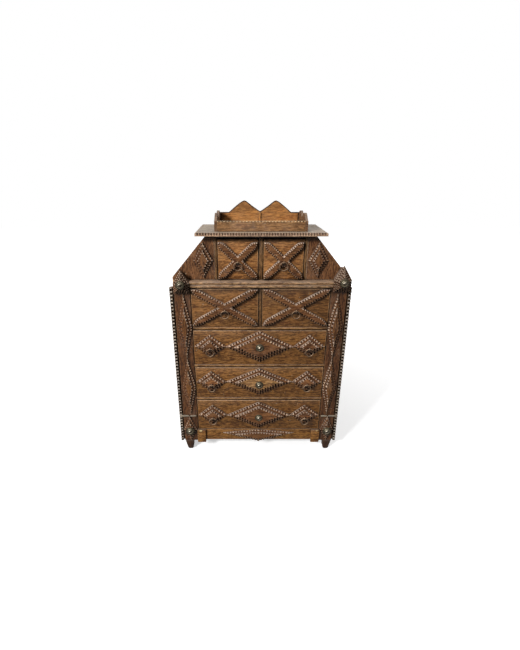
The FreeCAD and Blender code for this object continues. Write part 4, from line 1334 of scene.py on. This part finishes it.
class CABINET_OT_brass(Operator):
    """Studs, screw eyes and hanging rings"""
    bl_idname = "cabinet.brass"
    bl_label = "Brass"

    def execute(self, context):
        # how far each stud sits above the middle of its drawer, in millimetres
        for name, height in (("long_top", 3.4), ("long_middle", -1.5), ("long_bottom", -2.5)):
            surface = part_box(name + "_lozenges")[0].y
            low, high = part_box(name + "_front")
            middle = (low.z + high.z) / 2 + height * MM
            parts = [copied(stud_model(), name + "_stud", to_front(0, surface, middle))]
            for side in ("left", "right"):
                pivot = self.ring(f"{name}_ring_{side}", f"{name}_pull_{side}")
                parts += eye_parts(pivot.x, surface, pivot.z)
            hang(join(name + "_brass", parts), name + "_drawer", name + "_fittings")
        for name in ("upper_left", "upper_right", "middle_left", "middle_right"):
            pivot = self.ring(name + "_ring", name + "_pull")
            parts = eye_parts(pivot.x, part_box(name + "_cross")[0].y, pivot.z)
            hang(join(name + "_screw_eye", parts), name + "_drawer", name + "_eye")
        kite_face, house_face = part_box("right_post_ornament")[0].y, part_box("corner_houses")[0].y
        places = ((-160.5, kite_face, 58.0, 1.14), (160.5, kite_face, 58.0, 1.14),
                  (-158.8, house_face, 416.0, 1.0), (162.8, house_face, 419.5, 1.0))
        studs = [copied(stud_model(), "case_stud", to_front(x * MM, y, z * MM, width))
                 for x, y, z, width in places]
        hang(join("case_stud_brass", studs), "case", "case_studs")
        return {'FINISHED'}

    @staticmethod
    def ring(node, body):
        """Hangs a ring from its pivot, and gives the pivot."""
        b = brass_sizes()
        pivot = pull_pivot(body)
        piece = add_torus(node + "_wire", pivot - Vector((0, 0, b.ring_radius)), (math.radians(90), 0, 0),
                          b.ring_radius, b.ring_wire, 56, 12)
        hang(piece, body, node)
        return pivot


class CABINET_OT_stage(Operator):
    """Pale floor, soft light and the camera"""
    bl_idname = "cabinet.stage"
    bl_label = "Stage"

    def execute(self, context):
        scene = context.scene
        scene.view_settings.view_transform = 'Standard'
        self.floor()
        self.world(scene)
        self.lamp("key", (-1.63, -1.87, 1.69), 0.48, 84)
        self.lamp("overhead", (0.1, -0.5, 1.9), 1.2, 4)
        self.lamp("rear", (1.6, 1.6, 1.2), 1.8, 34)
        self.camera(scene)
        return {'FINISHED'}

    def floor(self):
        """Dark paper for the light that falls on it, and pale paper for the camera."""
        deselect_all()
        bpy.ops.mesh.primitive_plane_add(size=8, location=(0, 0, 0))
        floor = name_piece(bpy.context.object, "floor")
        paper, n, shader, place = new_material("paper")
        seen = self.seen(n)
        away = n.vector_math('LENGTH', place)[1]
        glow = n.math('MULTIPLY', seen, n.band(away, 0.25, 1.5, 0.55, 0.95))
        grey = n.add('ShaderNodeCombineXYZ', {0: glow, 1: glow, 2: glow}).outputs[0]
        n.feed(shader, {'Base Color': n.mix(seen, (0.11, 0.11, 0.11, 1), (0.80, 0.80, 0.80, 1)),
                        'Emission Color': grey, 'Emission Strength': 1.0, 'Roughness': 0.9,
                        'Specular IOR Level': 0.0})
        dress(floor, paper)

    @staticmethod
    def seen(n):
        """1 for what the camera and polished brass see."""
        path = n.add('ShaderNodeLightPath')
        return n.math('MAXIMUM', path.outputs['Is Camera Ray'], path.outputs['Is Glossy Ray'])

    def world(self, scene):
        world = bpy.data.worlds.new("studio")
        scene.world = world
        world.use_nodes = True
        n = Nodes(world.node_tree)
        n.feed(n.tree.nodes["Background"], {'Strength': n.band(self.seen(n), 0.0, 1.0, 0.055, 1.0),
                                            'Color': (1, 1, 1, 1)})

    @staticmethod
    def lamp(name, place, size, power):
        """A square lamp that is turned toward the middle of the cabinet."""
        lamp = bpy.data.lights.new(name, 'AREA')
        lamp.size, lamp.energy = size, power
        holder = bpy.data.objects.new(name, lamp)
        bpy.context.collection.objects.link(holder)
        holder.location = place
        target = Vector((0, 0, 0.30))
        holder.rotation_euler = (target - Vector(place)).to_track_quat('-Z', 'Y').to_euler()

    @staticmethod
    def camera(scene):
        """The usual view. The focal length and the place of the optical axis are in pixels of an image
        twice half_width wide and height high."""
        height, half_width, focal, axis = 650, 260, 361.9, 246.5
        aside, case_front, distance, above, pitch = -28.2, 52.75, 702, 611.4, 22.24
        lens = bpy.data.cameras.new("camera")
        lens.sensor_width = 36
        lens.lens = focal / height * lens.sensor_width
        lens.shift_x = (half_width - axis) / height
        lens.clip_start = 0.02
        holder = bpy.data.objects.new("camera", lens)
        bpy.context.collection.objects.link(holder)
        holder.location = (aside * MM, -(case_front + distance) * MM, above * MM)
        holder.rotation_euler = (math.radians(90 - pitch), 0, 0)
        scene.camera = holder


OPERATORS = (CABINET_OT_case_boards, CABINET_OT_posts, CABINET_OT_wings, CABINET_OT_apron_lens,
             CABINET_OT_corner_houses, CABINET_OT_top, CABINET_OT_small_drawers,
             CABINET_OT_long_drawers, CABINET_OT_brass, CABINET_OT_stage)


class CABINET_PT_panel(Panel):
    """Lists the steps that build the cabinet"""
    bl_idname = "CABINET_PT_panel"
    bl_label = "Thread Cabinet"
    bl_space_type = 'VIEW_3D'
    bl_region_type = 'UI'
    bl_category = "Thread Cabinet"

    def draw(self, context):
        for operator in OPERATORS:
            self.layout.operator(operator.bl_idname)
        for key, group in GROUPS.items():
            box = self.layout.box()
            for name in group.__annotations__:
                box.prop(getattr(context.scene, key), name)


GROUPS = {"cabinet_carving": CarvingSizes, "cabinet_brass": BrassSizes, "cabinet_finish": FinishColours}
CLASSES = (*GROUPS.values(), *OPERATORS, CABINET_PT_panel)


def register():
    for each in CLASSES:
        bpy.utils.register_class(each)
    for key, group in GROUPS.items():
        setattr(bpy.types.Scene, key, PointerProperty(type=group))


def unregister():
    for key in GROUPS:
        delattr(bpy.types.Scene, key)
    for each in reversed(CLASSES):
        bpy.utils.unregister_class(each)


def main():
    register()
    for operator in OPERATORS:
        group, step = operator.bl_idname.split(".")
        getattr(getattr(bpy.ops, group), step)()
    bpy.context.view_layer.update()


if __name__ == "__main__":
    main()
